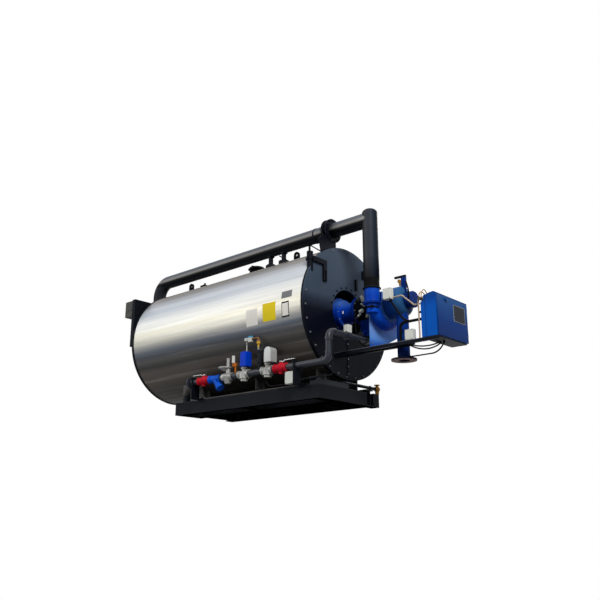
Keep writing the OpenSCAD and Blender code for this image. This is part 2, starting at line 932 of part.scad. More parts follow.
module cabinet() {
    face = cab_x0 - cdoor_t - cdoor_gap;
    top = shelf_z + cab_h;
    color(blue) {
        difference() {
            translate([0, cab_y1, 0])
                rotate([90, 0, 0])
                    linear_extrude(2 * cab_y)
                        polygon([[cab_x2, shelf_z], [cab_x2, shelf_z + cab_step_h],
                            [cab_x1, shelf_z + cab_step_h], [cab_x1, top - 40],
                            [cab_x0 - ridge_in - 80, top - 8], [cab_x0 - ridge_in, top],
                            [cab_x0, shelf_z + cab_front_h + cab_t],
                            [cab_x0, shelf_z + cab_front_h],
                            [face, shelf_z + cab_front_h], [face, shelf_z]]);
            translate([cab_x1 + cab_t, cab_y0 + cab_t, shelf_z + cab_t])
                cube([cab_d, 2 * cab_y - 2 * cab_t, cab_front_h - 2 * cab_t]);
        }
        for (z = hinge_zs) {
            hinge_leaf(hinge_x - 40, hinge_x, z, false);
            translate([hinge_x, hinge_y, z])
                cylinder(d = pin_d, h = 2 * hinge_h + 2);
        }
    }
}

module cabinet_door() {
    color(blue) {
        difference() {
            translate([cab_x0 - cdoor_t, cab_y0, shelf_z])
                cube([cdoor_t, 2 * cab_y, cab_front_h - cdoor_gap]);
            translate([cab_x0 - screen_in, cab_mid + 20, shelf_z + screen_z])
                cube([cdoor_t, screen_w, screen_h]);
        }
        translate([cab_x0 - 1, cab_mid - cab_y / 2, shelf_z + cab_front_h - 53])
            rod_x(knob_d, 36);
        for (z = hinge_zs)
            hinge_leaf(hinge_x, cab_x0 - 5, z + hinge_h + 1, true);
    }
}

module cabinet_screen() {
    color([0.2, 0.2, 0.2])
        translate([cab_x0 - screen_in, cab_mid + 20 + seat_gap, shelf_z + screen_z + seat_gap])
            cube([screen_in + 4, screen_w - 2 * seat_gap, screen_h - 2 * seat_gap]);
}

module box(w, d, h) {
    translate([w / 2, d / 2, 0])
        linear_extrude(h)
            pad(w, d, 8);
}

module junction_boxes() {
    color(white) {
        difference() {
            translate([box_x, -drum_r - box_out - box_d, axis_z - 40]) {
                box(box_w - 30, box_d, box_h);
                translate([60, box_d / 2, 60])
                    rod_y(60, box_d / 2 + box_out + 30);
            }
            intake_shape(seat_gap);
        }
        translate([cab_x2 - 345, -shelf_y0, shelf_z])
            box(box_w - 30, box_d, box_h - 15);
        translate([bracket_xs[1] - box_w, gas_y - box_d / 2 - 25, gas_z - box_h - 123])
            box(box_w, box_d, box_h + 20);
        difference() {
            translate([riser_gx, gas_y + 535, gas_z + gas_rise])
                linear_extrude(box_h)
                    pad(box_d, box_d + 20, 10);
            translate([riser_gx, gas_y, gas_z + gas_rise])
                rod_y(gas_d + 1.5 * collar + 2 * seat_gap, rail_y);
        }
    }
}

module conduits() {
    bx = box_x + box_w - 30;
    color(grey) {
        translate([bx, -drum_r - box_out - 20, axis_z - 10])
            run(cond_d, 0, [[160, 42, -90, 60], [275, 42, 180, 60], [cab_x2 - bx - 444.8]], 8, 30);
        translate([cab_x2 - 55, -shelf_y0 + 8, shelf_z])
            rotate([0, -90, 0])
                run(cond_d, 0, [[640, 90, -90, 45], [cab_x1 - cab_x2 + 10]], 8, 30);
        translate([bracket_xs[0] + 20, gas_y + 109, gas_z - 110])
            run(cable_d - 2, 0, [[20, 90, -90, 100],
                [gas_z - 110 - 200 - rail_h - cable_d / 2, 90, 180, 100],
                [bracket_xs[1] - bracket_xs[0] - 240]]);
    }
}

module cables() {
    foot_z = axis_z - riser_l + 55;
    foot_rise = shelf_z - shelf_t - cable_d - foot_z;
    foot_l = cab_x1 - riser_x - 145;
    color([0.03, 0.03, 0.03]) {
        for (p = [[260, -90, 35], [110, -30, 95]]) {
            a = [cab_x2 - 365, -shelf_y0 + p[0], shelf_z - shelf_t - cable_d / 2 - 3];
            b = [cab_x1 + 20, cab_mid + p[1], shelf_z - shelf_t - cable_d / 2 - 3];
            sag(a, b, p[2], cable_d);
            for (e = [a, b])
                translate([e[0], e[1], shelf_z - shelf_t - 24])
                    cylinder(d = 1.8 * cable_d, h = 24);
        }
        difference() {
            union() {
                translate([riser_x, 0, foot_z])
                    rod_x(1.8 * cable_d, riser_d / 2 + 24);
                translate([riser_x, 0, foot_z])
                    run(cable_d, 0, [[foot_l, 50, 90, 260], [(foot_rise - 260 * (1 - cos(50))) / sin(50)]], 4);
                translate([riser_x + foot_l + 260 * sin(50) + (foot_rise - 260 * (1 - cos(50))) / tan(50), 0,
                    shelf_z - shelf_t - cable_d])
                    cylinder(d = 1.8 * cable_d, h = cable_d);
            }
            translate([riser_x, 0, axis_z - riser_l])
                cylinder(d = riser_d + 2 * seat_gap, h = 300);
        }
        translate([dome_x + 70, -shelf_y0 + 220, shelf_z])
            rotate([0, -90, 0])
                run(bundle_d, 0, [[285, 90, -90, 95], [cab_x2 - dome_x - 165]], 4);
        translate([box_x + 110, -drum_r - box_out - 26, axis_z - 62]) {
            rotate([0, 57, 0])
                run(1.4 * cable_d, 0, [[372, 57, 90, 260],
                    [cab_x2 - box_x - 110 - 372 * cos(57) - 260 * sin(57)]], 4);
            translate([0, 0, -14])
                cylinder(d = 2 * cable_d, h = 36);
        }
        translate([valve_xs[1] - 50, gas_y, gas_z - valve_h])
            rotate([0, 90, 0])
                run(cable_d, 0, [[8, 90, 90, 165],
                    [bracket_xs[1] - box_w - valve_xs[1] + 50 - 165]], 4);
    }
}

module fgr_line() {
    color(black) {
        translate([fgr_rx, fgr_y, plate_top])
            rotate([0, -90, 0])
                run(fgr_d, fgr_t, [[fgr_az - fgr_bend - plate_top, 90, -90, fgr_bend],
                    [damper_x - fgr_rx - fgr_bend]]);
    }
}

module fgr_flanges() {
    color(black)
        for (i = [0, 1])
            translate([damper_x + i * (fgr_flange_t + fgr_flange_gap), fgr_y, fgr_az])
                tube_x(fgr_flange_d, (fgr_flange_d - fgr_d) / 2 + fgr_t, fgr_flange_t);
}

module fgr_drop() {
    x1 = drop_x - fgr_bend;
    x0 = damper_x + 2 * fgr_flange_t + fgr_flange_gap;
    zb = axis_z + stub_top + coup_l;
    color(black) {
        translate([damper_x + fgr_flange_t, fgr_y, fgr_az])
            tube_x(fgr_d, fgr_t, fgr_flange_gap);
        translate([x0, fgr_y, fgr_az])
            run(fgr_d, fgr_t, [[x1 - x0, 90, -90, fgr_bend], [fgr_az - fgr_bend - zb]]);
    }
}

module fgr_coupling() {
    color([0.03, 0.03, 0.03])
        translate([drop_x, fgr_y, axis_z + stub_top])
            tube_z(fgr_d - 6, coup_t, coup_l);
}

module fgr_support() {
    x0 = jacket_fx - support_t;
    color(black)
        difference() {
            translate([x0, fgr_y - support_w / 2, axis_z + ring_r - 80])
                cube([support_t, support_w, fgr_rise]);
            translate([x0 - 1, fgr_y, fgr_az])
                rod_x(fgr_d + 2 * seat_gap, support_t + 2);
            shell_space(seat_gap);
        }
    color(black)
        for (x = post_xs)
            difference() {
                translate([x, fgr_y, top_z - 90]) {
                    translate([-foot_w / 2, -foot_w / 3, 0])
                        cube([foot_w, foot_w * 2 / 3, 65]);
                    translate([-arm_t / 2, -arm_t, 0])
                        cube([arm_t, 2 * arm_t, fgr_rise]);
                    translate([-arm_t, -foot_w / 3, fgr_rise - 55])
                        cube([2 * arm_t, foot_w * 2 / 3, 30]);
                }
                translate([x - foot_w, fgr_y, fgr_az])
                    rod_x(fgr_d + 2 * seat_gap, 2 * foot_w);
                shell_space(seat_gap);
            }
}

module gas_run(x0, x1) {
    translate([x0, gas_y, gas_z])
        tube_x(gas_d, gas_t, x1 - x0);
}

module gas_pipes() {
    color(black) {
        gas_run(inlet_x + gasf_t - 1, cock_xs[0] - cock_l / 2);
        translate([inlet_x, gas_y, gas_z])
            rotate([0, 90, 0])
                difference() {
                    cylinder(d = gasf_d, h = gasf_t);
                    translate([0, 0, -1])
                        cylinder(d = gas_d - 2 * gas_t, h = gasf_t + 2);
                    bolt_ring(gasf_pcd, 8, gasf_hole, gasf_t);
                }
        gas_run(cock_xs[0] + cock_l / 2, strainer_x - strain_l / 2);
        gas_run(strainer_x + strain_l / 2, reg_x - reg_l / 2);
        gas_run(reg_x + reg_l / 2, valve_xs[0] - valve_l / 2);
        gas_run(valve_xs[0] + valve_l / 2, valve_xs[1] - valve_l / 2);
        gas_run(valve_xs[1] + valve_l / 2, cock_xs[1] - cock_l / 2);
    }
}

module gas_brackets() {
    color(black)
        for (x = bracket_xs)
            difference() {
                union() {
                    translate([x, gas_y - 80, rail_h])
                        cube([20, 200, gas_z - rail_h + 90]);
                    translate([x, gas_y + 40, rail_h])
                        cube([150, 80, 20]);
                }
                translate([x - 1, gas_y, gas_z])
                    rod_x(gas_d + 2 * seat_gap, 30);
            }
}

module cock(x) {
    translate([x, gas_y, gas_z]) {
        translate([-cock_l / 2, 0, 0])
            rod_x(gas_d + collar, cock_l);
        for (e = [-cock_l / 2, cock_l / 2 - 36])
            translate([e, 0, 0])
                rod_x(gas_d + 2 * collar, 36);
        sphere(d = cock_d);
        translate([0, 0, -cock_h])
            cylinder(d = cock_d / 2, h = cock_h);
        cylinder(d = cock_d / 2, h = cock_h - 6);
        translate([0, 0, cock_h - 7])
            cylinder(d = spin_d, h = 22);
    }
}

module gas_cocks() {
    color(red)
        for (x = cock_xs)
            cock(x);
}

module lever(x, s) {
    color(grey)
        translate([x, gas_y, gas_z + cock_h])
            difference() {
                union() {
                    cylinder(d = hub_d, h = 2 * lever_t);
                    translate([0, 16, 0])
                        rotate([90, 0, 0])
                            linear_extrude(32)
                                polygon([[0, 0], [s * 60, 0], [s * 100, 22], [s * lever_l, 22],
                                    [s * lever_l, 22 + lever_t], [s * 92, 22 + lever_t],
                                    [s * 56, lever_t], [0, lever_t]]);
                }
                translate([0, 0, -1])
                    cylinder(d = spin_d + pin_gap, h = 16.1);
            }
}

module lever_rear() {
    lever(cock_xs[0], -1);
}

module lever_front() {
    lever(cock_xs[1], 1);
}

module strainer() {
    color(blue)
        translate([strainer_x, gas_y, gas_z]) {
            translate([-strain_l / 2, 0, 0])
                rod_x(gas_d + collar, strain_l);
            for (e = [-strain_l / 2, strain_l / 2 - 40])
                translate([e, 0, 0])
                    rod_x(gas_d + 2 * collar, 40);
            rotate([0, 142, 0]) {
                cylinder(d = gas_d + collar, h = 210);
                translate([0, 0, 200])
                    cylinder(d = gas_d + 2 * collar, h = 45);
            }
        }
}

module regulator() {
    color(grey)
        translate([reg_x, gas_y, gas_z]) {
            translate([-reg_l / 2, 0, 0])
                rod_x(gas_d + 1.5 * collar, reg_l);
            translate([0, 0, -valve_h])
                cylinder(d1 = gas_d, d2 = gas_d + 4 * collar, h = valve_h);
            cylinder(d = 90, h = 170);
            translate([-70, 0, 120])
                cylinder(d1 = 90, d2 = dia_d, h = 50);
            translate([-70, 0, 169])
                cylinder(d = dia_d, h = 20);
            translate([0, 0, 180])
                cylinder(d = 64, h = 160);
            translate([0, 0, 339])
                cylinder(d = 78, h = 14);
        }
}

module pilot_line() {
    color(steel)
        difference() {
            translate([(reg_x + reg_l / 2 + valve_xs[0] - valve_l / 2) / 2 - 20, gas_y, gas_z]) {
                translate([0, 0, gas_d / 2 - 10])
                    cylinder(d = small_d, h = 175);
                translate([0, 0, gas_d / 2 + 120])
                    cylinder(d = 2 * small_d, h = 62);
                translate([-58, 0, gas_d / 2 + 151])
                    rod_x(small_d, 60);
                translate([-62, 0, gas_d / 2 + 120])
                    cylinder(d = small_d, h = 100);
                translate([-62, 0, gas_d / 2 + 190])
                    cylinder(d = 1.8 * small_d, h = 140);
            }
            translate([reg_x, gas_y, gas_z])
                rod_x(gas_d + 2 * seat_gap, 400);
        }
}

module valve_bodies() {
    color([0.8, 0.8, 0.78])
        for (x = valve_xs)
            translate([x, gas_y, gas_z]) {
                translate([-valve_l / 2, 0, 0])
                    rod_x(gas_d + collar, valve_l);
                for (e = [-valve_l / 2, valve_l / 2 - 30])
                    translate([e, 0, 0])
                        rod_x(gas_d + 2 * collar, 30);
                translate([0, 0, -valve_h])
                    cylinder(d = valve_d - 50, h = valve_h);
                translate([0, 0, 40 - valve_h])
                    cylinder(d = valve_d, h = valve_h - 20);
                cylinder(d = valve_d / 2, h = valve_h + 8);
                translate([0, 0, valve_h - 30])
                    cylinder(d = valve_d - 60, h = 22);
            }
}

module actuator_rear() {
    color(blue)
        translate([valve_xs[0] + 44, gas_y - 10, act_z]) {
            linear_extrude(act_h - 20)
                pad(act_w, act_w, 22);
            translate([0, 0, act_h - 21])
                linear_extrude(21)
                    pad(act_w - 24, act_w - 24, 18);
            translate([-act_w / 2 - 10, -30, 30])
                cube([12, 60, 60]);
        }
}

module actuator_front() {
    w = act_w;
    color([0.85, 0.85, 0.82])
        translate([valve_xs[1] + 70, gas_y - 10, act_z]) {
            translate([0, w / 2, 0])
                rotate([90, 0, 0])
                    linear_extrude(w) {
                        translate([-w / 2, 0])
                            square([w, act_h - w / 2]);
                        translate([0, act_h - w / 2])
                            circle(d = w);
                    }
        }
}

module gas_vent() {
    color(black)
        difference() {
            translate([vent_x, 0, 0]) {
                translate([0, gas_y - 10, gas_z + 40])
                    cylinder(d = vent_d, h = vent_h - 40);
                translate([0, gas_y - 10, gas_z + 150])
                    cylinder(d = vent_d + collar, h = 60);
                translate([0, gas_y - 10, vent_z - collar_l])
                    cylinder(d = vent_d + collar, h = collar_l);
                translate([0, vent_y, vent_z - 1])
                    rotate([0, -90, 0])
                        run(small_d, 0, [[190, 90, 90, 40], [126]]);
                translate([0, vent_y, vent_z + 110])
                    cylinder(d = 2 * small_d, h = 72);
            }
            translate([vent_x - 150, gas_y, gas_z])
                rod_x(gas_d + 2 * seat_gap, 300);
        }
}

module gas_switches() {
    x = vent_x - 166;
    z = vent_z + 229;
    color(white)
        translate([x, vent_y, z]) {
            translate([-45, 0, -55])
                linear_extrude(110)
                    pad(90, 60, 8);
            translate([-120, 0, 5])
                rod_x(56, 80);
            translate([-150, 0, -25])
                linear_extrude(60)
                    pad(66, 60, 8);
            translate([-150, 10, act_z + act_h - z])
                cylinder(d = 16, h = z - act_z - act_h - 20);
        }
}

module gas_riser() {
    x0 = cock_xs[1] + cock_l / 2;
    zt = gas_z + gas_rise;
    end_z = axis_z - block_h - throttle_h;
    color(black) {
        translate([x0, gas_y, gas_z])
            run(gas_d, gas_t, [[riser_gx - gas_bend - x0, 90, 90, gas_bend],
                [gas_rise - 2 * gas_bend, 90, -90, gas_bend],
                [-gas_y - gas_bend - end_bend, 90, 180, end_bend],
                [end_z - zt - end_bend]], collar, collar_l);
        translate([riser_gx, gas_y + 480, zt])
            rotate([90, 0, 180])
                tube_z(gas_d + 1.5 * collar, gas_t + 0.75 * collar, 110);
    }
}

module drain_line() {
    z = beam_h + saddle_t + drain_d / 2 + 1;
    x = skid_fx - cross_w / 2;
    ye = beam_y + beam_w / 2 + 190;
    tx = riser_gx + (gas_d + collar + tap_d) / 2 + seat_gap;
    tz = gas_z - 255;
    color(black) {
        translate([tx, gas_y, gas_z + gas_rise - gas_bend - 50])
            rotate([0, 90, 0])
                run(tap_d, 0, [[gas_rise - gas_bend + 165, 90, -90, 40],
                    [tx - 40 - bracket_xs[1] - 20]]);
        translate([skid_fx - 100, gas_y, tz])
            rod_x(2 * tap_d + 8, 190);
        translate([saddle_xs[2] + saddle_t / 2, -beam_y / 2, z])
            run(drain_d, 0, [[x - saddle_xs[2] - saddle_t / 2 - 70, 90, 0, 70],
                [beam_y / 2 + ye - 70]]);
        translate([x, ye - 190, z])
            rod_y(drain_d + 20, 40);
        translate([x, ye, z])
            rod_y(drain_d + 24, 50);
        translate([x, ye + 60, z]) {
            sphere(d = 116);
            translate([0, 0, -100])
                cylinder(d = 76, h = 100);
            cylinder(d = 50, h = 74);
            translate([0, 0, 70])
                cylinder(d = 110, h = 16);
        }
    }
}

module covers() {
    color(black) {
        difference() {
            translate([man_x, 0, top_z - 60]) {
                cylinder(d = man_d - 70, h = man_h + 60);
                translate([0, 0, man_h + 59])
                    cylinder(d1 = man_d, d2 = man_d - 60, h = 41);
                translate([-20, -man_d / 2 + 40, man_h + 99])
                    cube([40, man_d - 80, 20]);
            }
            shell_space(seat_gap);
        }
        difference() {
            translate([hatch_x, 0, top_z - 30]) {
                cylinder(d = man_d - 180, h = man_h);
                translate([0, 0, man_h - 1])
                    cylinder(d1 = man_d - 160, d2 = 60, h = 46);
                cylinder(d = 40, h = man_h + 80);
            }
            shell_space(seat_gap);
        }
    }
}

module bolt_ring(pcd, n, hd, h) {
    for (i = [0:n - 1])
        rotate([0, 0, (i + 0.5) * 360 / n])
            translate([pcd / 2, 0, -1])
                cylinder(d = hd, h = h + 2, $fn = 24);
}

module nozzle(x, d, fd, pcd, n) {
    difference() {
        translate([x, 0, top_z - 60]) {
            cylinder(d = d, h = nozzle_h + 60);
            translate([0, 0, nozzle_h + 60 - flange_t])
                cylinder(d = fd, h = flange_t);
            translate([0, 0, 50])
                cylinder(d = d + 60, h = 30);
        }
        translate([x, 0, top_z - 61])
            cylinder(d = d - 16, h = nozzle_h + 62);
        translate([x, 0, top_z + nozzle_h - flange_t])
            bolt_ring(pcd, n, flange_hole, flange_t);
        shell_space(seat_gap);
    }
}

module nozzles() {
    color(black) {
        nozzle(steam_x, steam_d, steam_flange_d, steam_pcd, 8);
        nozzle(relief_x, relief_d, relief_flange_d, relief_pcd, 4);
    }
}

module lifting_lugs() {
    color(black)
        for (x = lug_xs)
            difference() {
                translate([x, lug_t / 2, top_z - 20])
                    rotate([90, 0, 0])
                        linear_extrude(lug_t)
                            difference() {
                                union() {
                                    translate([-lug_w / 2, 0])
                                        square([lug_w, lug_h - lug_w / 2 + 20]);
                                    translate([0, lug_h - lug_w / 2 + 20])
                                        circle(d = lug_w);
                                }
                                translate([0, lug_h - lug_w / 2 + 20])
                                    circle(d = lug_eye);
                            }
                shell_space(seat_gap);
            }
}

skid_beams();
skid_cross();
side_rail();
saddles();
jacket();
end_rings();
rear_head();
smokebox();
smokebox_covers();
stack_outlet();
door_near();
door_far();
door_davits();
burner_tunnel();
burner_head();
register_ring();
gas_throttle();
fan_scroll();
intake_housing();
intake_riser();
tower_bracket();
pedestal();
burner_shelf();
cabinet();
cabinet_door();
cabinet_screen();
junction_boxes();
conduits();
cables();
fgr_line();
fgr_flanges();
fgr_drop();
fgr_coupling();
fgr_support();
gas_pipes();
gas_brackets();
gas_cocks();
lever_rear();
lever_front();
strainer();
regulator();
pilot_line();
valve_bodies();
actuator_rear();
actuator_front();
gas_vent();
gas_switches();
gas_riser();
drain_line();
covers();
nozzles();
lifting_lugs();
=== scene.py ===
import math

import bpy
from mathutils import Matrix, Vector


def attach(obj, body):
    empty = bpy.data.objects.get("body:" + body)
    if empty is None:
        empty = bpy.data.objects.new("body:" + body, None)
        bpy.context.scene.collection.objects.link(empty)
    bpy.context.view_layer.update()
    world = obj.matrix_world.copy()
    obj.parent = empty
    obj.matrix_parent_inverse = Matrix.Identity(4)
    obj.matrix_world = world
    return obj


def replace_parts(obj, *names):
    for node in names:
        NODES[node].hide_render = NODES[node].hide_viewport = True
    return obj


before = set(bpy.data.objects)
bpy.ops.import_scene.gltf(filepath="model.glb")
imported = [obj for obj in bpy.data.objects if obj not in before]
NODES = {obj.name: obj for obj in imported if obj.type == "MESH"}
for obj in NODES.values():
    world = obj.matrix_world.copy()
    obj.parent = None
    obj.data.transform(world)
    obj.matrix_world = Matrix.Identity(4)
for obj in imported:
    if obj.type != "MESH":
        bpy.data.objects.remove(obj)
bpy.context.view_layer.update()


def extent(name):
    """Lowest and highest corner of a node's mesh in the part's frame, to the millimetre."""
    points = [v.co for v in NODES[name].data.vertices]
    return [[round(pick(p[i] for p in points), 3) for i in range(3)] for pick in (min, max)]


def middle(a, b):
    """Half way between two places, free of rounding noise."""
    return round((a + b) / 2, 4)


# the vessel: its axis, its jacket's radius and the outer faces of the doors and the rear head
jacket_lo, jacket_hi = extent("jacket")
AXIS_Z = middle(jacket_lo[2], jacket_hi[2])
JACKET_R = round(jacket_hi[2] - AXIS_Z, 4)
FRONT_X = extent("door_far")[1][0]
REAR_X = extent("rear_head")[0][0]

# the recirculation pipe: its radius, its level run, its upright and the damper's flanges
line_lo, line_hi = extent("fgr_line")
drop_lo, drop_hi = extent("fgr_drop")
PIPE_R = middle(line_hi[1], -line_lo[1])
LINE_Y = middle(line_lo[1], line_hi[1])
LINE_Z = round(line_hi[2] - PIPE_R, 4)
DROP_X = round(drop_hi[0] - PIPE_R, 4)
DROP_FOOT = drop_lo[2]
DAMPER_X0, DAMPER_X1 = (corner[0] for corner in extent("fgr_flanges"))


# materials

def lin(c):
    """sRGB 0-255 to linear."""
    return [((v / 255 + 0.055) / 1.055) ** 2.4 if v > 10 else v / 255 / 12.92 for v in c] + [1.0]


class Mat:
    """A procedural material with a few short helpers."""

    def __init__(self, name):
        self.m = bpy.data.materials.new(name)
        self.m.use_nodes = True
        self.t = self.m.node_tree
        self.t.nodes.clear()
        self.out = self.t.nodes.new("ShaderNodeOutputMaterial")
        self.b = self.t.nodes.new("ShaderNodeBsdfPrincipled")
        self.link(self.b.outputs[0], self.out.inputs[0])
        self.coord = self.t.nodes.new("ShaderNodeTexCoord").outputs["Object"]

    def link(self, a, b):
        self.t.links.new(a, b)

    def node(self, kind, **sets):
        n = self.t.nodes.new(kind)
        for k, v in sets.items():
            setattr(n, k, v)
        return n

    def noise(self, scale, detail=4.0, rough=0.55, stretch=None):
        src = self.coord
        if stretch:
            mp = self.node("ShaderNodeMapping")
            mp.inputs["Scale"].default_value = stretch
            self.link(self.coord, mp.inputs["Vector"])
            src = mp.outputs[0]
        n = self.node("ShaderNodeTexNoise")
        n.inputs["Scale"].default_value = scale
        n.inputs["Detail"].default_value = detail
        n.inputs["Roughness"].default_value = rough
        self.link(src, n.inputs["Vector"])
        return n.outputs["Fac"]

    def span(self, src, a, b, c=0.0, d=1.0, smooth=False):
        """Maps src from the range a, b to the range c, d."""
        n = self.node("ShaderNodeMapRange")
        if smooth:
            n.interpolation_type = "SMOOTHSTEP"
        for i, v in zip(range(1, 5), (a, b, c, d)):
            n.inputs[i].default_value = v
        self.link(src, n.inputs[0])
        return n.outputs[0]

    def mix(self, fac, a, b, blend="MIX"):
        """Mixes two colours; each input is a socket or a value."""
        n = self.node("ShaderNodeMix", data_type="RGBA", blend_type=blend)
        for sock, v in ((n.inputs[0], fac), (n.inputs[6], a), (n.inputs[7], b)):
            if isinstance(v, bpy.types.NodeSocket):
                self.link(v, sock)
            else:
                sock.default_value = v
        return n.outputs[2]

    def axis(self, i):
        n = self.node("ShaderNodeSeparateXYZ")
        self.link(self.coord, n.inputs[0])
        return n.outputs[i]

    def along(self, way, at=(0, 0, 0)):
        """Distance from a point along a direction of the part."""
        sub = self.node("ShaderNodeVectorMath", operation="SUBTRACT")
        self.link(self.coord, sub.inputs[0])
        sub.inputs[1].default_value = at
        dot = self.node("ShaderNodeVectorMath", operation="DOT_PRODUCT")
        self.link(sub.outputs[0], dot.inputs[0])
        dot.inputs[1].default_value = way
        return dot.outputs["Value"]

    def radius(self, at, keep=(0, 1, 1)):
        """Distance from an axis of the part through a point."""
        sub = self.node("ShaderNodeVectorMath", operation="SUBTRACT")
        self.link(self.coord, sub.inputs[0])
        sub.inputs[1].default_value = at
        flat = self.node("ShaderNodeVectorMath", operation="MULTIPLY")
        self.link(sub.outputs[0], flat.inputs[0])
        flat.inputs[1].default_value = keep
        length = self.node("ShaderNodeVectorMath", operation="LENGTH")
        self.link(flat.outputs[0], length.inputs[0])
        return length.outputs["Value"]

    def bump(self, src, strength, dist):
        n = self.node("ShaderNodeBump")
        n.inputs["Strength"].default_value = strength
        n.inputs["Distance"].default_value = dist
        self.link(src, n.inputs["Height"])
        self.link(n.outputs[0], self.b.inputs["Normal"])


def finish_mat(M, col, rough, metal=0.0, spread=0.12, dust=0.10, peel=0.0006, spec=0.035):
    """Tone variation, dust on what faces up, uneven gloss and a fine surface relief."""
    tone = M.noise(2.3, 5.0)
    fine = M.noise(90.0, 3.0, 0.6)
    dark = M.mix(1.0, col, [1 - spread] * 3 + [1], "MULTIPLY")
    c = M.mix(M.span(tone, 0.35, 0.65), dark, col)
    geo = M.node("ShaderNodeNewGeometry")
    sep = M.node("ShaderNodeSeparateXYZ")
    M.link(geo.outputs["Normal"], sep.inputs[0])
    up = M.span(sep.outputs[2], 0.2, 1.0, 0.0, dust)
    c = M.mix(up, c, lin((150, 146, 138)))
    M.link(c, M.b.inputs["Base Color"])
    r = M.span(fine, 0.3, 0.7, max(rough - 0.07, 0.03), rough + 0.09)
    M.link(r, M.b.inputs["Roughness"])
    M.b.inputs["Metallic"].default_value = metal
    M.b.inputs["Specular IOR Level"].default_value = spec
    M.bump(fine, 0.35, peel)
    return M.m


def paint(name, rgb, rough=0.38, metal=0.0, second=None, **kw):
    """second is (axis, threshold, rgb): another colour beyond a plane of the part."""
    M = Mat(name)
    col = lin(rgb)
    if second:
        i, at, rgb2 = second
        col = M.mix(M.span(M.axis(i), at - 0.002, at + 0.002), col, lin(rgb2))
    return finish_mat(M, col, rough, metal, **kw)


def tones(M, stops, src=None, wobble=0.0, stretch=(0.35, 1.0, 1.0)):
    """A colour by height, or by src, from (metres, sRGB) pairs, with a little wandering."""
    lo, hi = stops[0][0], stops[-1][0]
    src = M.axis(2) if src is None else src
    ramp = M.node("ShaderNodeValToRGB")
    els = ramp.color_ramp.elements
    places = [((z - lo) / (hi - lo), lin(c)) for z, c in stops]
    els[0].position, els[0].color = places[0]
    els[1].position, els[1].color = places[-1]
    for at, c in places[1:-1]:
        els.new(at).color = c
    h = M.span(src, lo, hi)
    if wobble:
        n = M.node("ShaderNodeMath", operation="MULTIPLY_ADD")
        M.link(M.noise(1.6, 3.0, 0.5, stretch=stretch), n.inputs[0])
        n.inputs[1].default_value = wobble
        M.link(M.span(src, lo, hi, -wobble / 2, 1 - wobble / 2), n.inputs[2])
        h = n.outputs[0]
    M.link(h, ramp.inputs[0])
    return ramp.outputs[0]


def graded(name, stops, rough=0.4, src=None, wobble=0.05, **kw):
    """A paint whose tone changes by height or along another direction."""
    M = Mat(name)
    return finish_mat(M, tones(M, stops, src and src(M), wobble), rough, **kw)


def jacket_mat():
    """Bright stainless sheet with streaks along the shell; its tone by height is painted reflection and shade: a
    painted highlight band high up, darker painted shade towards the belly and the top.
    """
    M = Mat("jacket_steel")
    # painted light by height: a dark painted reflection of the ground low down, a painted highlight band from about
    # 1.6 to 2.2 m, greyer painted shade over the top
    stops = ((0.455, (64, 60, 56)), (0.65, (62, 58, 54)), (0.80, (84, 78, 70)), (1.00, (86, 81, 76)),
             (1.10, (52, 51, 50)), (1.20, (82, 81, 79)), (1.30, (66, 70, 78)), (1.40, (92, 99, 109)),
             (1.50, (142, 142, 140)), (1.60, (184, 181, 168)), (1.70, (204, 201, 187)), (1.80, (218, 213, 196)),
             (1.90, (230, 229, 221)), (2.00, (238, 237, 232)), (2.12, (228, 230, 229)), (2.22, (200, 206, 213)),
             (2.40, (194, 200, 208)), (2.50, (164, 168, 174)), (2.62, (138, 137, 137)), (2.80, (126, 121, 115)),
             (2.975, (112, 107, 102)))
    col = tones(M, stops, None, 0.012, (0.10, 1.0, 1.0))
    streak = M.noise(16.0, 6.0, 0.7, stretch=(0.02, 1.0, 1.0))
    fine = M.noise(220.0, 3.0, 0.6, stretch=(0.03, 1.0, 1.0))
    painted_gleam = M.noise(7.0, 5.0, 0.6, stretch=(0.03, 1.0, 1.0))
    c = M.mix(M.span(streak, 0.35, 0.75, 0.0, 0.28), col, lin((96, 92, 90)))
    # painted sheen: broad pale patches along the shell
    c = M.mix(M.span(painted_gleam, 0.52, 0.80, 0.0, 0.22), c, lin((236, 232, 222)))
    M.link(c, M.b.inputs["Base Color"])
    M.b.inputs["Metallic"].default_value = 0.28
    M.b.inputs["Specular IOR Level"].default_value = 0.1
    M.link(M.span(streak, 0.3, 0.7, 0.34, 0.48), M.b.inputs["Roughness"])
    M.b.inputs["Anisotropic"].default_value = 0.4
    M.bump(fine, 0.25, 0.0005)
    return M.m


# painted light: a painted highlight band and painted shade by height on the level run, and painted shading from the
# lit to the shaded side across the upright
PAINTED_PIPE_LIGHT = ((3.134, (40, 42, 48)), (3.155, (32, 36, 40)), (3.170, (10, 12, 16)), (3.222, (18, 20, 22)),
              (3.238, (84, 83, 80)), (3.252, (132, 129, 126)), (3.275, (138, 136, 134)),
              (3.300, (112, 112, 114)), (3.325, (88, 92, 100)), (3.41, (92, 98, 108)))
PAINTED_DROP_LIGHT = ((-0.143, (30, 31, 36)), (-0.126, (46, 47, 50)), (-0.108, (62, 63, 65)), (-0.088, (60, 61, 65)),
              (-0.058, (52, 55, 61)), (0.0, (46, 52, 61)), (0.05, (33, 40, 51)), (0.088, (24, 31, 42)),
              (0.110, (8, 11, 20)), (0.143, (5, 7, 14)))


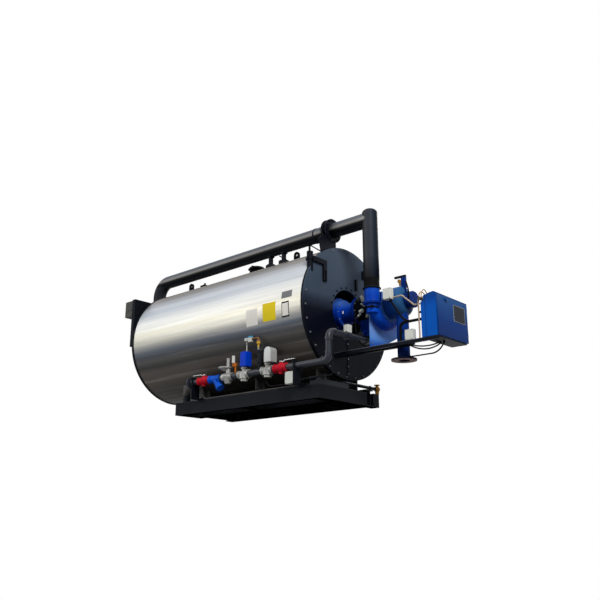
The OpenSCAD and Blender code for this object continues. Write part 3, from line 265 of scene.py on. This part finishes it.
def drop_mat():
    """The recirculation pipe's front run and its upright, with their painted highlight and shade."""
    M = Mat("drop_painted_light")
    level = tones(M, PAINTED_PIPE_LIGHT, None, 0.03)
    upright = tones(M, PAINTED_DROP_LIGHT, M.along((0.748, 0.664, 0), (DROP_X, LINE_Y, 0)), 0.03)
    inside = M.span(M.radius((DROP_X, LINE_Y, 0), (1, 1, 0)), PIPE_R + 0.0005, PIPE_R + 0.0025, 1.0, 0.0)
    return finish_mat(M, M.mix(inside, level, upright), 0.42, dust=0.0)


def ring_mat():
    """Register ring: black faces, with the rim in the head's blue."""
    M = Mat("ring_paint")
    rim = M.span(M.radius((0, 0, AXIS_Z)), 0.243, 0.246)
    return finish_mat(M, M.mix(rim, lin((14, 16, 22)), lin((8, 40, 122))), 0.40, dust=0.0)


def scroll_mat():
    """Blue rim whose tone by height is painted light and shade, with a side plate painted lighter as a painted
    highlight.
    """
    M = Mat("scroll_paint")
    plate = M.node("ShaderNodeMath", operation="MULTIPLY")
    M.link(M.span(M.radius((0, 0, AXIS_Z)), 0.335, 0.345, 1.0, 0.0), plate.inputs[0])
    M.link(M.span(M.axis(0), 3.484, 3.487), plate.inputs[1])
    stops = ((1.20, (8, 54, 158)), (1.45, (12, 72, 186)), (1.75, (10, 60, 168)), (2.0, (22, 80, 186)))
    rim = tones(M, stops, None, 0.05)
    return finish_mat(M, M.mix(plate.outputs[0], rim, lin((60, 102, 178))), 0.36, dust=0.0)


# vessel, skid and pipes
JACKET = jacket_mat()
BLACK = paint("black_paint", (15, 18, 26), 0.40, dust=0.06)
# the skid's tone by height holds painted highlights: pale bands along the flanges' edges, darker painted shade between
BEAM = graded("beam_paint", ((0.0, (28, 29, 34)), (0.23, (20, 22, 28)), (0.26, (46, 48, 52)), (0.35, (38, 42, 49)),
                             (0.385, (52, 53, 56)), (0.40, (84, 82, 80))), 0.45, dust=0.0)
DUCT = paint("duct_paint", (14, 17, 24), 0.40, dust=0.05)
# the doors' tone by height is painted reflection: painted lighter over the upper part, darker painted shade below
DOOR = graded("door_paint", ((0.445, (17, 21, 29)), (0.95, (10, 14, 22)), (1.2, (6, 10, 22)), (1.62, (6, 10, 24)),
                             (1.80, (34, 42, 58)), (1.95, (56, 68, 84)), (2.985, (66, 78, 94))), 0.42, dust=0.0)
# the level run's tone by height is painted highlight and painted shade
LINE = graded("line_painted_light", PAINTED_PIPE_LIGHT, 0.42, wobble=0.03, dust=0.0)
DROP = drop_mat()
GAS = paint("gas_pipe_paint", (36, 40, 50), 0.38, dust=0.16, spec=0.25)
DRAIN = paint("drain_paint", (18, 21, 28), 0.40, second=(1, 0.735, (168, 118, 48)), dust=0.03)
GREY = paint("grey_paint", (84, 83, 79), 0.50, dust=0.04, spread=0.18)

# burner and cabinet
# the head's tone by height is painted light: a painted highlight band along its top, painted shade darker below
HEAD = graded("head_paint", ((1.39, (10, 42, 118)), (1.60, (9, 46, 138)), (1.75, (12, 58, 168)),
                             (1.90, (56, 100, 182)), (2.04, (34, 80, 166))), 0.34, dust=0.0)
RING = ring_mat()
BLUE = paint("blue_paint", (6, 62, 160), 0.34, dust=0.03)
SCROLL = scroll_mat()
HOUSING = graded("housing_paint", ((3.50, (12, 54, 120)), (3.70, (18, 64, 136)), (3.745, (46, 90, 138)),
                                   (3.855, (40, 84, 128)), (3.865, (8, 40, 104)), (4.01, (10, 44, 112))),
                 0.36, lambda M: M.axis(0), 0.0, dust=0.0)
RISER = graded("riser_paint", ((0.649, (96, 34, 30)), (0.655, (30, 38, 54)), (0.678, (30, 38, 54)),
                               (0.684, (12, 38, 92)), (1.10, (12, 52, 130)), (1.45, (10, 50, 128))),
               0.38, wobble=0.0, dust=0.0)
# the pedestal's tone by height: darker towards the foot is a painted shadow cast by the pipe
PEDESTAL = graded("pedestal_paint", ((0.895, (20, 80, 184)), (1.00, (38, 96, 196)), (1.10, (96, 150, 228)),
                                     (1.30, (124, 162, 236)), (1.565, (96, 134, 208))),
                  0.36, wobble=0.16, dust=0.0)
TOWER = graded("tower_paint", ((1.85, (10, 44, 116)), (2.135, (12, 46, 120)), (2.145, (16, 19, 28)),
                               (2.18, (16, 19, 28))), 0.38, wobble=0.0, dust=0.0)
CABINET = graded("cabinet_paint", ((0.895, (6, 84, 178)), (1.40, (6, 80, 172)), (1.56, (10, 62, 140)),
                                   (1.64, (16, 64, 132))), 0.36, dust=0.0)
CABINET_DOOR = graded("cabinet_door_paint", ((0.895, (4, 44, 106)), (1.15, (2, 50, 118)), (1.45, (28, 72, 132)),
                                             (1.64, (44, 86, 142))), 0.34, dust=0.0)
SCREEN = paint("screen_glass", (46, 51, 58), 0.25, dust=0.0, spread=0.3)
BEZEL = paint("bezel_paint", (146, 150, 156), 0.45, dust=0.0)
# near-black shelf with a painted highlight: a pale band along its top edge
SHELF = graded("shelf_paint", ((0.830, (16, 19, 28)), (0.884, (18, 21, 30)), (0.889, (92, 96, 104)),
                               (0.8955, (92, 96, 104))), 0.42, wobble=0.0, dust=0.0)

# gas train
RED = paint("red_paint", (186, 24, 42), 0.34, dust=0.04)
STRAINER = paint("strainer_paint", (16, 84, 196), 0.34, dust=0.04)
ACTUATOR = paint("actuator_paint", (4, 58, 190), 0.34, dust=0.03)
ALLOY = paint("cast_alloy", (168, 168, 164), 0.42, metal=0.35, spread=0.3, peel=0.0012)
SILVER = paint("silver_paint", (178, 180, 178), 0.40, metal=0.2, spread=0.2, dust=0.02)
PILOT = paint("pilot_paint", (186, 104, 34), 0.38, second=(2, 0.842, (214, 214, 208)), dust=0.03)
VENT = graded("vent_paint", ((0.59, (22, 24, 30)), (0.985, (34, 36, 40)), (0.992, (150, 148, 140)),
                             (1.03, (150, 148, 140)), (1.045, (204, 164, 58)), (1.13, (204, 164, 58)),
                             (1.15, (128, 92, 66)), (1.28, (128, 92, 66))), 0.40, wobble=0.0, dust=0.0)
SWITCH = graded("switch_paint", ((0.60, (198, 200, 192)), (1.235, (198, 200, 192)), (1.25, (70, 146, 176)),
                                 (1.29, (70, 146, 176))), 0.45, wobble=0.0, dust=0.0)

# fittings, leads, bolts and plates
PLATED = paint("plated_steel", (166, 166, 164), 0.34, metal=0.5, spread=0.25, dust=0.03)
BOLT = paint("bolt_steel", (112, 114, 120), 0.42, metal=0.2, dust=0.02)
BOLT_DARK = paint("bolt_black", (10, 12, 18), 0.42, dust=0.02)
BRASS = paint("brass", (176, 132, 66), 0.36, metal=0.4, spread=0.3)
WHITE = paint("white_plastic", (206, 208, 200), 0.50, dust=0.03, spread=0.10)
RUBBER = paint("black_rubber", (14, 14, 16), 0.62, dust=0.03, peel=0.001)
TAN = paint("tan_conduit", (98, 95, 91), 0.50, second=(1, -1.0, (176, 158, 140)), dust=0.03, spread=0.2)
PLATE_WHITE = paint("plate_white", (226, 222, 214), 0.5, dust=0.0, spread=0.05)
PLATE_YELLOW = paint("plate_yellow", (222, 198, 34), 0.5, dust=0.0, spread=0.06)
PLATE_GREY = paint("plate_grey", (118, 120, 122), 0.5, dust=0.0)
PLATE_DARK = paint("plate_dark", (26, 28, 32), 0.5, dust=0.0)

# the nodes that aren't plain black
LOOKS = {
    "jacket": JACKET, "door_near": DOOR, "door_far": DOOR,
    "skid_beams": BEAM, "skid_cross": BEAM, "side_rail": BEAM, "saddles": BEAM,
    "smokebox": DUCT, "smokebox_covers": GREY, "stack_outlet": DUCT,
    "fgr_line": LINE, "fgr_drop": DROP, "fgr_coupling": RUBBER,
    "burner_head": HEAD, "gas_throttle": BLUE, "fan_scroll": SCROLL, "register_ring": RING,
    "intake_housing": HOUSING, "intake_riser": RISER, "tower_bracket": TOWER, "pedestal": PEDESTAL,
    "burner_shelf": SHELF, "cabinet": CABINET, "cabinet_door": CABINET_DOOR, "cabinet_screen": SCREEN,
    "junction_boxes": WHITE, "conduits": TAN, "cables": RUBBER,
    "gas_cocks": RED, "lever_rear": PLATED, "lever_front": PLATED, "strainer": STRAINER,
    "regulator": ALLOY, "pilot_line": PILOT, "valve_bodies": ALLOY, "actuator_rear": ACTUATOR,
    "actuator_front": SILVER, "gas_vent": VENT, "gas_switches": SWITCH,
    "drain_line": DRAIN, "gas_pipes": GAS, "gas_riser": GAS,
}
for name, ob in NODES.items():
    ob.data.materials.clear()
    ob.data.materials.append(LOOKS.get(name, BLACK))


# small shapes, gathered into one mesh per group

class Kit:
    """Collects faces; smooth where curved, flat where marked."""

    def __init__(self):
        self.v, self.f, self.flat = [], [], []

    def add(self, verts, faces, flat=False):
        k = len(self.v)
        self.v += [tuple(p) for p in verts]
        self.f += [tuple(k + i for i in f) for f in faces]
        self.flat += [flat] * len(faces)

    def loft(self, verts, n, rows, flat=False):
        """Closed rows of n points each, joined one to the next and capped at both ends."""
        faces = []
        for j in range(rows - 1):
            for i in range(n):
                k = (i + 1) % n
                faces.append((j * n + i, j * n + k, (j + 1) * n + k, (j + 1) * n + i))
        faces.append(tuple(range(n - 1, -1, -1)))
        faces.append(tuple(range((rows - 1) * n, rows * n)))
        self.add(verts, faces, flat)

    def lathe(self, at, axis, prof, n=24, flat=False):
        """prof is a list of (radius, height) along axis from at."""
        q = Vector(axis).to_track_quat("Z", "Y").to_matrix()
        at = Vector(at)
        turns = [2 * math.pi * i / n for i in range(n)]
        verts = [at + q @ Vector((r * math.cos(a), r * math.sin(a), h)) for r, h in prof for a in turns]
        self.loft(verts, n, len(prof), flat)

    def band(self, at, axis, r0, r1, h, edge=0.002, n=48):
        """A hoop of height h from at, r0 where it starts and r1 outside."""
        self.lathe(at, axis, [(r0, 0), (r1, edge), (r1, h - edge), (r0, h)], n)

    def bolt(self, at, axis, d, washer=True, stud=True):
        h = d * 0.55
        if washer:
            self.lathe(at, axis, [(d * 0.62, 0), (d * 0.62, d * 0.08), (d * 0.58, d * 0.11)], 16)
        self.lathe(at, axis, [(d * 0.5, d * 0.08), (d * 0.5, h * 0.9), (d * 0.44, h)], 6, True)
        if stud:
            self.lathe(at, axis, [(d * 0.29, h * 0.8), (d * 0.29, h * 1.35), (d * 0.25, h * 1.45)], 10)

    def ring(self, c, axis, r, n, d, start=0.0, skip=None):
        """n bolts on a circle, but for those whose place skip turns down."""
        q = Vector(axis).to_track_quat("Z", "Y").to_matrix()
        for i in range(n):
            a = start + 2 * math.pi * i / n
            p = Vector(c) + q @ Vector((r * math.cos(a), r * math.sin(a), 0))
            if skip is None or not skip(p):
                self.bolt(p, axis, d)

    def block(self, lo, hi, b=0.002):
        """A box with bevelled edges."""
        (x0, y0, z0), (x1, y1, z1) = lo, hi
        verts = []
        for z, e in ((z0, b), (z0 + b, 0), (z1 - b, 0), (z1, b)):
            verts += [(x0 + b + e, y0 + e, z), (x1 - b - e, y0 + e, z), (x1 - e, y0 + b + e, z),
                      (x1 - e, y1 - b - e, z), (x1 - b - e, y1 - e, z), (x0 + b + e, y1 - e, z),
                      (x0 + e, y1 - b - e, z), (x0 + e, y0 + b + e, z)]
        self.loft(verts, 8, 4, True)

    def slab(self, outline, x0, x1):
        """A flat plate across X from its (y, z) outline."""
        verts = [(x, y, z) for x in (x0, x1) for y, z in outline]
        self.loft(verts, len(outline), 2, True)

    def pipe(self, pts, r, n=12):
        """A bar along points, with mitred corners."""
        pts = [Vector(p) for p in pts]
        verts = []
        up = Vector((0.13, 0.31, 0.94))
        for i, p in enumerate(pts):
            d = (pts[min(i + 1, len(pts) - 1)] - pts[max(i - 1, 0)]).normalized()
            u = (up - d * up.dot(d)).normalized()
            w = d.cross(u)
            up = u
            for k in range(n):
                a = 2 * math.pi * k / n
                verts.append(p + (u * math.cos(a) + w * math.sin(a)) * r)
        self.loft(verts, n, len(pts))

    def skin(self, x0, x1, a0, a1, r, t=0.002, n=10):
        """A plate bent to the shell; the angles are degrees below the near side's horizontal."""
        verts, faces = [], []
        for rr in (r, r + t):
            for x in (x0, x1):
                for i in range(n + 1):
                    a = math.radians(a0 + (a1 - a0) * i / n)
                    verts.append((x, -rr * math.cos(a), AXIS_Z - rr * math.sin(a)))
        m = n + 1
        for i in range(n):
            faces.append((2 * m + i, 2 * m + i + 1, 3 * m + i + 1, 3 * m + i))
            faces.append((i + 1, i, m + i, m + i + 1))
            faces.append((i, i + 1, 2 * m + i + 1, 2 * m + i))
            faces.append((m + i + 1, m + i, 3 * m + i, 3 * m + i + 1))
        faces.append((0, 2 * m, 3 * m, m))
        faces.append((n, m + n, 3 * m + n, 2 * m + n))
        self.add(verts, faces, True)

    def make(self, name, mat, body="boiler"):
        me = bpy.data.meshes.new(name)
        me.from_pydata(self.v, [], self.f)
        me.validate()
        for p, flat in zip(me.polygons, self.flat):
            p.use_smooth = not flat and len(p.vertices) == 4
        me.materials.append(mat)
        ob = bpy.data.objects.new(name, me)
        bpy.context.scene.collection.objects.link(ob)
        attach(ob, body)
        return ob


X, Z = (1, 0, 0), (0, 0, 1)
BACK, NEAR = (-1, 0, 0), (0, -1, 0)
FRONT = (FRONT_X, 0, AXIS_Z)

# bolts round the doors and down their seam, round the rear head and on the rear smokebox's flange
BOLT_CIRCLE = 1.222
DUCT_FLANGE_X = -2.62
k = Kit()
k.ring(FRONT, X, BOLT_CIRCLE, 30, 0.030, start=0.05, skip=lambda p: p.y < -0.62 and p.z > AXIS_Z + 0.42)
for i in range(5):
    k.bolt((FRONT_X + 0.01, -0.03, AXIS_Z - 1.16 + 0.14 * i), X, 0.026, stud=False)
k.ring((REAR_X, 0, AXIS_Z), BACK, BOLT_CIRCLE, 30, 0.036, skip=lambda p: p.z > 1.60 and abs(p.y) < 1.26)
for s in (-1, 1):
    for i in range(5):
        k.bolt((DUCT_FLANGE_X, s * 1.21, 1.68 + 0.145 * i), BACK, 0.030)
for i in range(12):
    k.bolt((DUCT_FLANGE_X, -1.10 + 0.20 * i, 1.66), BACK, 0.030)
k.make("door_bolts", BOLT)
k = Kit()
k.ring(FRONT, X, 0.492, 20, 0.030, start=0.08)
k.make("recess_bolts", BOLT_DARK)

# screws and a handle on each end cover of the rear cross duct
COVER_X, COVER_Y, COVER_Z = -2.775, 1.21, 2.515
COVER_SCREWS = ([(x, z) for x in (-0.13, 0, 0.13) for z in (-0.155, 0.155)]
                + [(x, z) for x in (-0.13, 0.13) for z in (-0.05, 0.05)])
HANDLE = ((-0.06, 0.0), (-0.06, 0.03), (-0.045, 0.04), (0.045, 0.04), (0.06, 0.03), (0.06, 0.0))
k = Kit()
for s in (-1, 1):
    for dx, dz in COVER_SCREWS:
        k.bolt((COVER_X + dx, s * COVER_Y, COVER_Z + dz), (0, s, 0), 0.020, stud=False)
    k.pipe([(COVER_X + dx, s * (COVER_Y + out), COVER_Z - 0.02) for dx, out in HANDLE], 0.006)
k.make("cover_bolts", BOLT)

# blank plates on the jacket: start and end along it, angles round it, and how far each stands out
for name, mat, x0, x1, a0, a1, out in (
        ("jacket_plate_white", PLATE_WHITE, 1.07, 1.365, -2.6, 11.8, 0.0),
        ("jacket_plate_yellow", PLATE_YELLOW, 1.505, 1.83, -4.8, 10.7, 0.0),
        ("jacket_plate_border", PLATE_DARK, 1.985, 2.16, -2.5, 10.6, 0.0),
        ("jacket_plate_small", PLATE_WHITE, 2.0, 2.145, -1.2, 9.3, 0.0015),
        ("jacket_plate_grey", PLATE_GREY, 1.975, 2.225, -11.6, -5.6, 0.0)):
    k = Kit()
    k.skin(x0, x1, a0, a1, JACKET_R + out)
    k.make(name, mat)

# bolts of the burner's flanges (x, circle, count, size, first angle) and of the pedestal plate
(plate_x0, plate_y0, plate_z0), (plate_x1, plate_y1, plate_z1) = extent("pedestal")
k = Kit()
for x, r, n, d, start in ((2.36, 0.298, 12, 0.026, 0.1), (2.469, 0.228, 10, 0.022, 0.0),
                          (2.84, 0.222, 10, 0.022, 0.2)):
    k.ring((x, 0, AXIS_Z), X, r, n, d, start)
for y, z in ((-0.271, 1.223), (0.492, 1.259), (-0.271, 0.98)):
    k.bolt((plate_x0, y, z), BACK, 0.028)
k.bolt((plate_x1, -0.271, 0.98), X, 0.028, stud=False)
k.make("burner_bolts", BOLT)

# bolts of the damper's flanges, and a band with its lug on the level run
k = Kit()
for x, axis in ((DAMPER_X0, BACK), (DAMPER_X1, X)):
    k.ring((x, LINE_Y, LINE_Z), axis, 0.205, 12, 0.026, start=0.13)
k.make("damper_bolts", BOLT_DARK)
BAND_X = 2.10
k = Kit()
k.band((BAND_X, LINE_Y, LINE_Z), X, PIPE_R - 0.006, PIPE_R + 0.007, 0.030, n=40)
k.block((BAND_X + 0.002, LINE_Y - 0.012, LINE_Z - 0.166), (BAND_X + 0.028, LINE_Y + 0.012, LINE_Z - 0.141))
k.make("line_band", BLACK)

# the upright stands on past the run, which meets its side, and ends in a dished cap
CAP_Z, CAP_H = 3.387, 0.088
k = Kit()
k.lathe((drop_lo[0], LINE_Y, LINE_Z), X, [(PIPE_R, h) for h in (0, 0.06)], 48)
k.lathe((DAMPER_X1, LINE_Y, LINE_Z), X, [(PIPE_R, h) for h in (0, 0.30, 0.60, DROP_X - DAMPER_X1)], 48)
cap = [(PIPE_R * math.cos(math.radians(a)), CAP_Z - DROP_FOOT + CAP_H * math.sin(math.radians(a)))
       for a in (0, 12, 24, 36, 48, 60, 72, 82, 88)]
k.lathe((DROP_X, LINE_Y, DROP_FOOT), Z, [(PIPE_R, h) for h in (0, 0.42, 0.85)] + cap, 64)
k.band((DROP_X, LINE_Y, 3.055), Z, PIPE_R + 0.0002, PIPE_R + 0.0016, 0.012, n=64)
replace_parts(k.make("line_drop", DROP), "fgr_drop")

# a frame round the cabinet's screen
(screen_x, y0, z0), (_, y1, z1) = extent("cabinet_screen")
BAR = 0.004
k = Kit()
for y in (y0, y1):
    k.block((screen_x, y - BAR, z0 - BAR), (screen_x + 0.016, y + BAR, z1 + BAR), 0.001)
for z in (z1, z0):
    k.block((screen_x, y0 + BAR, z - BAR), (screen_x + 0.016, y1 - BAR, z + BAR), 0.001)
k.make("screen_bezel", BEZEL, "cabinet_door")

# lids and screws of the junction boxes: x from and to, outer y, z from and to
LIDS = ((3.643, 3.797, -0.4545, 1.679, 1.866), (4.043, 4.197, -0.4245, 0.899, 1.071),
        (2.054, 2.236, -1.2345, 0.276, 0.483))
LID_T, SCREW_IN = 0.0055, 0.012
k = Kit()
for x0, x1, y, z0, z1 in LIDS:
    k.block((x0, y, z0), (x1, y + LID_T, z1))
k.make("box_lids", WHITE)
k = Kit()
for x0, x1, y, z0, z1 in LIDS:
    for x in (x0 + SCREW_IN, x1 - SCREW_IN):
        for z in (z0 + SCREW_IN, z1 - SCREW_IN):
            k.bolt((x, y, z), NEAR, 0.012, stud=False, washer=False)
k.make("box_screws", BOLT)

# ignition and sight plugs on the neck behind the register ring: x, degrees from the top, size
NECK_R = 0.186
k = Kit()
for x, a, d in ((2.993, 110, 0.055), (3.095, 136, 0.05), (2.988, 45, 0.062),
                (3.10, 40, 0.045), (3.05, 84, 0.04), (2.93, 126, 0.036)):
    out = (0, -math.sin(math.radians(a)), math.cos(math.radians(a)))
    at = (x, out[1] * NECK_R, AXIS_Z + out[2] * NECK_R)
    k.lathe(at, out, [(d * 0.7, 0), (d * 0.7, 0.02), (d * 0.5, 0.024), (d * 0.5, 0.07), (d * 0.42, 0.075),
                      (d * 0.42, 0.10), (d * 0.2, 0.104)], 20)
k.make("neck_plugs", WHITE)

# the pedestal's far foot is cut back towards the shelf
k = Kit()
k.slab([(plate_y0, plate_z0), (-0.12, plate_z0), (plate_y1, 1.225), (plate_y1, plate_z1), (plate_y0, plate_z1)],
       plate_x0, plate_x1)
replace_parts(k.make("pedestal_plate", PEDESTAL), "pedestal")

# collars on the scroll's throat and stub, and a lead down from the neck
k = Kit()
k.band((DROP_X, LINE_Y, 1.572), Z, 0.1075, 0.119, 0.034, 0.003)
k.band((DROP_X, LINE_Y, 1.932), Z, 0.139, 0.164, 0.022)
k.block((3.44, -0.545, 1.574), (3.475, -0.485, 1.604), 0.004)
k.make("stub_collars", BLACK)
k = Kit()
k.pipe([(2.90, -0.262, 1.60), (2.905, -0.285, 1.55), (2.915, -0.300, 1.42), (2.93, -0.302, 1.25), (2.96, -0.302, 1.13),
        (3.02, -0.302, 1.03), (3.10, -0.302, 0.965), (3.17, -0.300, 0.92), (3.19, -0.300, 0.897)], 0.013)
k.make("neck_lead", RUBBER)

# plate, post and braces under the recirculation pipe
POST_X, POST_R, POST_FOOT = 1.911, 0.022, 2.908
BRACE_R = 0.012
k = Kit()
k.slab([(-0.80, 3.02), (-0.74, 2.745), (-0.30, 2.945), (-0.36, 3.03), (-0.43, 3.07), (-0.45, 3.125), (-0.66, 3.125)],
       2.478, 2.494)
k.pipe([(POST_X, LINE_Y, 3.135), (POST_X, LINE_Y, POST_FOOT + 0.007)], POST_R)
k.lathe((POST_X, LINE_Y, POST_FOOT), Z, [(0.05, 0), (0.05, 0.012), (POST_R, 0.016)], 20)
k.pipe([(POST_X + 0.024, LINE_Y, 3.12), (2.21, LINE_Y, 2.925)], BRACE_R)
k.pipe([(1.02, -0.30, 3.14), (1.30, -0.30, 2.95)], BRACE_R)
k.make("line_braces", BLACK)

# glands on the cabinet's back, and the seam down its near side
(cab_x, cab_y, cab_z0), (_, _, cab_z1) = extent("cabinet")
GLAND = [(0.024, 0), (0.024, 0.016), (0.019, 0.020), (0.019, 0.060), (0.012, 0.064)]
k = Kit()
for z in (1.335, 1.215):
    k.lathe((cab_x - 0.001, -0.400, z), BACK, GLAND, 20)
k.make("cabinet_glands", BLACK)
k = Kit()
SEAM_X = cab_x + 0.081
k.block((SEAM_X, cab_y - 0.0012, cab_z0 + 0.010), (SEAM_X + 0.006, cab_y + 0.0001, cab_z1 - 0.008), 0.0004)
k.make("cabinet_seam", BOLT_DARK)

# blank tag on the burner head
k = Kit()
k.block((2.532, -0.188, 1.665), (2.562, -0.181, 1.718))
k.make("head_tag", PLATE_WHITE)

# gauge on the tower, and the tower's lead
GAUGE_X = 3.750
GAUGE_STEM = [(0.012, 0), (0.012, 0.03), (0.020, 0.034), (0.020, 0.075), (0.010, 0.080), (0.010, 0.11)]
GAUGE_FACE = [(0.030, -0.012), (0.034, -0.008), (0.034, 0.012), (0.028, 0.014)]
k = Kit()
k.lathe((GAUGE_X, -0.060, 1.975), Z, GAUGE_STEM, 20)
k.lathe((GAUGE_X, -0.078, 2.075), NEAR, GAUGE_FACE, 28)
k.make("tower_gauge", BRASS)
k = Kit()
k.pipe([(3.871, -0.050, 2.055), (3.884, -0.070, 2.052), (3.905, -0.096, 2.022), (3.940, -0.124, 1.950),
        (3.972, -0.146, 1.870), (3.990, -0.162, 1.800), (3.994, -0.168, 1.740), (3.990, -0.160, 1.700)], 0.013)
k.make("tower_lead", RUBBER)

# two looped leads and their plate behind the cabinet's top: y from and to, the loop's height, x
LEAD_Z = cab_z1 - 0.04
k = Kit()
for y0, y1, h, x in ((-0.422, -0.24, 0.10, cab_x - 0.033), (-0.375, -0.187, 0.15, cab_x - 0.019)):
    pts = [(x, y0, LEAD_Z - 0.012)]
    for i in range(9):
        t = math.pi * i / 8
        pts.append((x + 0.014 * i / 8, (y0 + y1) / 2 - (y1 - y0) / 2 * math.cos(t), LEAD_Z + h * math.sin(t)))
    k.pipe(pts + [(x + 0.014, y1, LEAD_Z - 0.012)], 0.008)
k.make("cabinet_leads", BRASS)
k = Kit()
k.block((cab_x - 0.040, cab_y - 0.020, cab_z1 - 0.097), (cab_x - 0.001, -0.18, cab_z1 - 0.052), 0.004)
k.make("cabinet_gland_plate", GREY)

# bolts of the clamp below the stub, and the coupling's two bands
CLAMP_R, CLAMP_Z, CLAMP_BOLTS = 0.152, 1.687, 12
k = Kit()
for i in range(CLAMP_BOLTS):
    a = 2 * math.pi * (i + 0.5) / CLAMP_BOLTS
    k.bolt((DROP_X + CLAMP_R * math.cos(a), LINE_Y + CLAMP_R * math.sin(a), CLAMP_Z), Z, 0.020)
k.make("clamp_bolts", BOLT)
k = Kit()
k.band((DROP_X, LINE_Y, 1.930), Z, 0.1405, 0.1435, 0.040)
k.band((DROP_X, LINE_Y, 2.093), Z, 0.1405, 0.1425, 0.024)
k.make("coupling_bands", RUBBER)

# camera, fitted to the photograph
CAM_PITCH, CAM_YAW = 0.2805117, 0.7255135
cam = bpy.data.cameras.new("camera")
cam_ob = bpy.data.objects.new("camera", cam)
bpy.context.scene.collection.objects.link(cam_ob)
cam.sensor_width = 36.0
cam.lens = 43.0306
cam.clip_start, cam.clip_end = 0.1, 300.0
cam_ob.location = (10.5173, -10.3766, -1.7849)
cam_ob.rotation_euler = (math.pi / 2 + CAM_PITCH, 0.0, CAM_YAW)
bpy.context.scene.camera = cam_ob


def any_ray(tree, first, *more):
    """1 for rays of the named kinds, 0 for all others."""
    path = tree.nodes.new("ShaderNodeLightPath")
    seen = path.outputs[first]
    for kind in more:
        n = tree.nodes.new("ShaderNodeMath")
        n.operation = "MAXIMUM"
        tree.links.new(seen, n.inputs[0])
        tree.links.new(path.outputs[kind], n.inputs[1])
        seen = n.outputs[0]
    return seen


# floor: pale, darker for bounced light, white far off and clear from below
HALF, FLOOR_Z = 60, -0.001
me = bpy.data.meshes.new("floor")
me.from_pydata([(-HALF, -HALF, FLOOR_Z), (HALF, -HALF, FLOOR_Z), (HALF, HALF, FLOOR_Z), (-HALF, HALF, FLOOR_Z)], [],
               [(0, 1, 2, 3)])
floor = bpy.data.objects.new("floor", me)
bpy.context.scene.collection.objects.link(floor)
M = Mat("floor")
pale = M.mix(M.span(M.noise(3.0, 4.0), 0.3, 0.7), [0.80, 0.80, 0.79, 1], [0.84, 0.84, 0.83, 1])
seen = any_ray(M.t, "Is Camera Ray", "Is Glossy Ray")
near = M.node("ShaderNodeBsdfDiffuse")
M.link(M.mix(seen, [0.22, 0.22, 0.23, 1], pale), near.inputs[0])
far = M.node("ShaderNodeMath", operation="MULTIPLY")
M.link(M.span(M.radius((0, 0, 0), (1, 1, 0)), 6.5, 15.0, smooth=True), far.inputs[0])
M.link(seen, far.inputs[1])
ground = M.node("ShaderNodeMixShader")
M.link(far.outputs[0], ground.inputs[0])
M.link(near.outputs[0], ground.inputs[1])
M.link(M.node("ShaderNodeEmission").outputs[0], ground.inputs[2])
sides = M.node("ShaderNodeMixShader")
M.link(M.node("ShaderNodeNewGeometry").outputs["Backfacing"], sides.inputs[0])
M.link(ground.outputs[0], sides.inputs[1])
M.link(M.node("ShaderNodeBsdfTransparent").outputs[0], sides.inputs[2])
M.link(sides.outputs[0], M.out.inputs[0])
M.t.nodes.remove(M.b)
me.materials.append(M.m)

# world: soft light, seen as white
world = bpy.data.worlds.new("studio")
bpy.context.scene.world = world
world.use_nodes = True
wt = world.node_tree
wt.nodes.clear()
mix_world = wt.nodes.new("ShaderNodeMixShader")
wt.links.new(any_ray(wt, "Is Camera Ray", "Is Glossy Ray", "Is Transmission Ray"), mix_world.inputs[0])
for i, tint, strength in ((1, (0.93, 0.96, 1.0, 1.0), 0.45), (2, (1.0, 1.0, 1.0, 1.0), 1.0)):
    sky = wt.nodes.new("ShaderNodeBackground")
    sky.inputs[0].default_value = tint
    sky.inputs[1].default_value = strength
    wt.links.new(sky.outputs[0], mix_world.inputs[i])
wt.links.new(mix_world.outputs[0], wt.nodes.new("ShaderNodeOutputWorld").inputs[0])


def lamp(name, at, aim, size, watts, tint=(1, 1, 1)):
    la = bpy.data.lights.new(name, "AREA")
    la.shape = "DISK"
    la.size = size
    la.energy = watts
    la.color = tint
    ob = bpy.data.objects.new(name, la)
    bpy.context.scene.collection.objects.link(ob)
    ob.location = at
    ob.rotation_euler = (Vector(aim) - Vector(at)).to_track_quat("-Z", "Y").to_euler()


lamp("key", (12.5, -7.5, 10.0), (1.0, 0, 1.8), 6.0, 1900, (1.0, 0.98, 0.95))
lamp("side", (-7.0, -10.0, 5.0), (-0.5, 0, 1.8), 6.0, 480, (0.95, 0.97, 1.0))
lamp("back", (2.0, 11.0, 8.0), (0.5, 0, 1.8), 6.0, 700)

view = bpy.context.scene.view_settings
view.view_transform = "Standard"
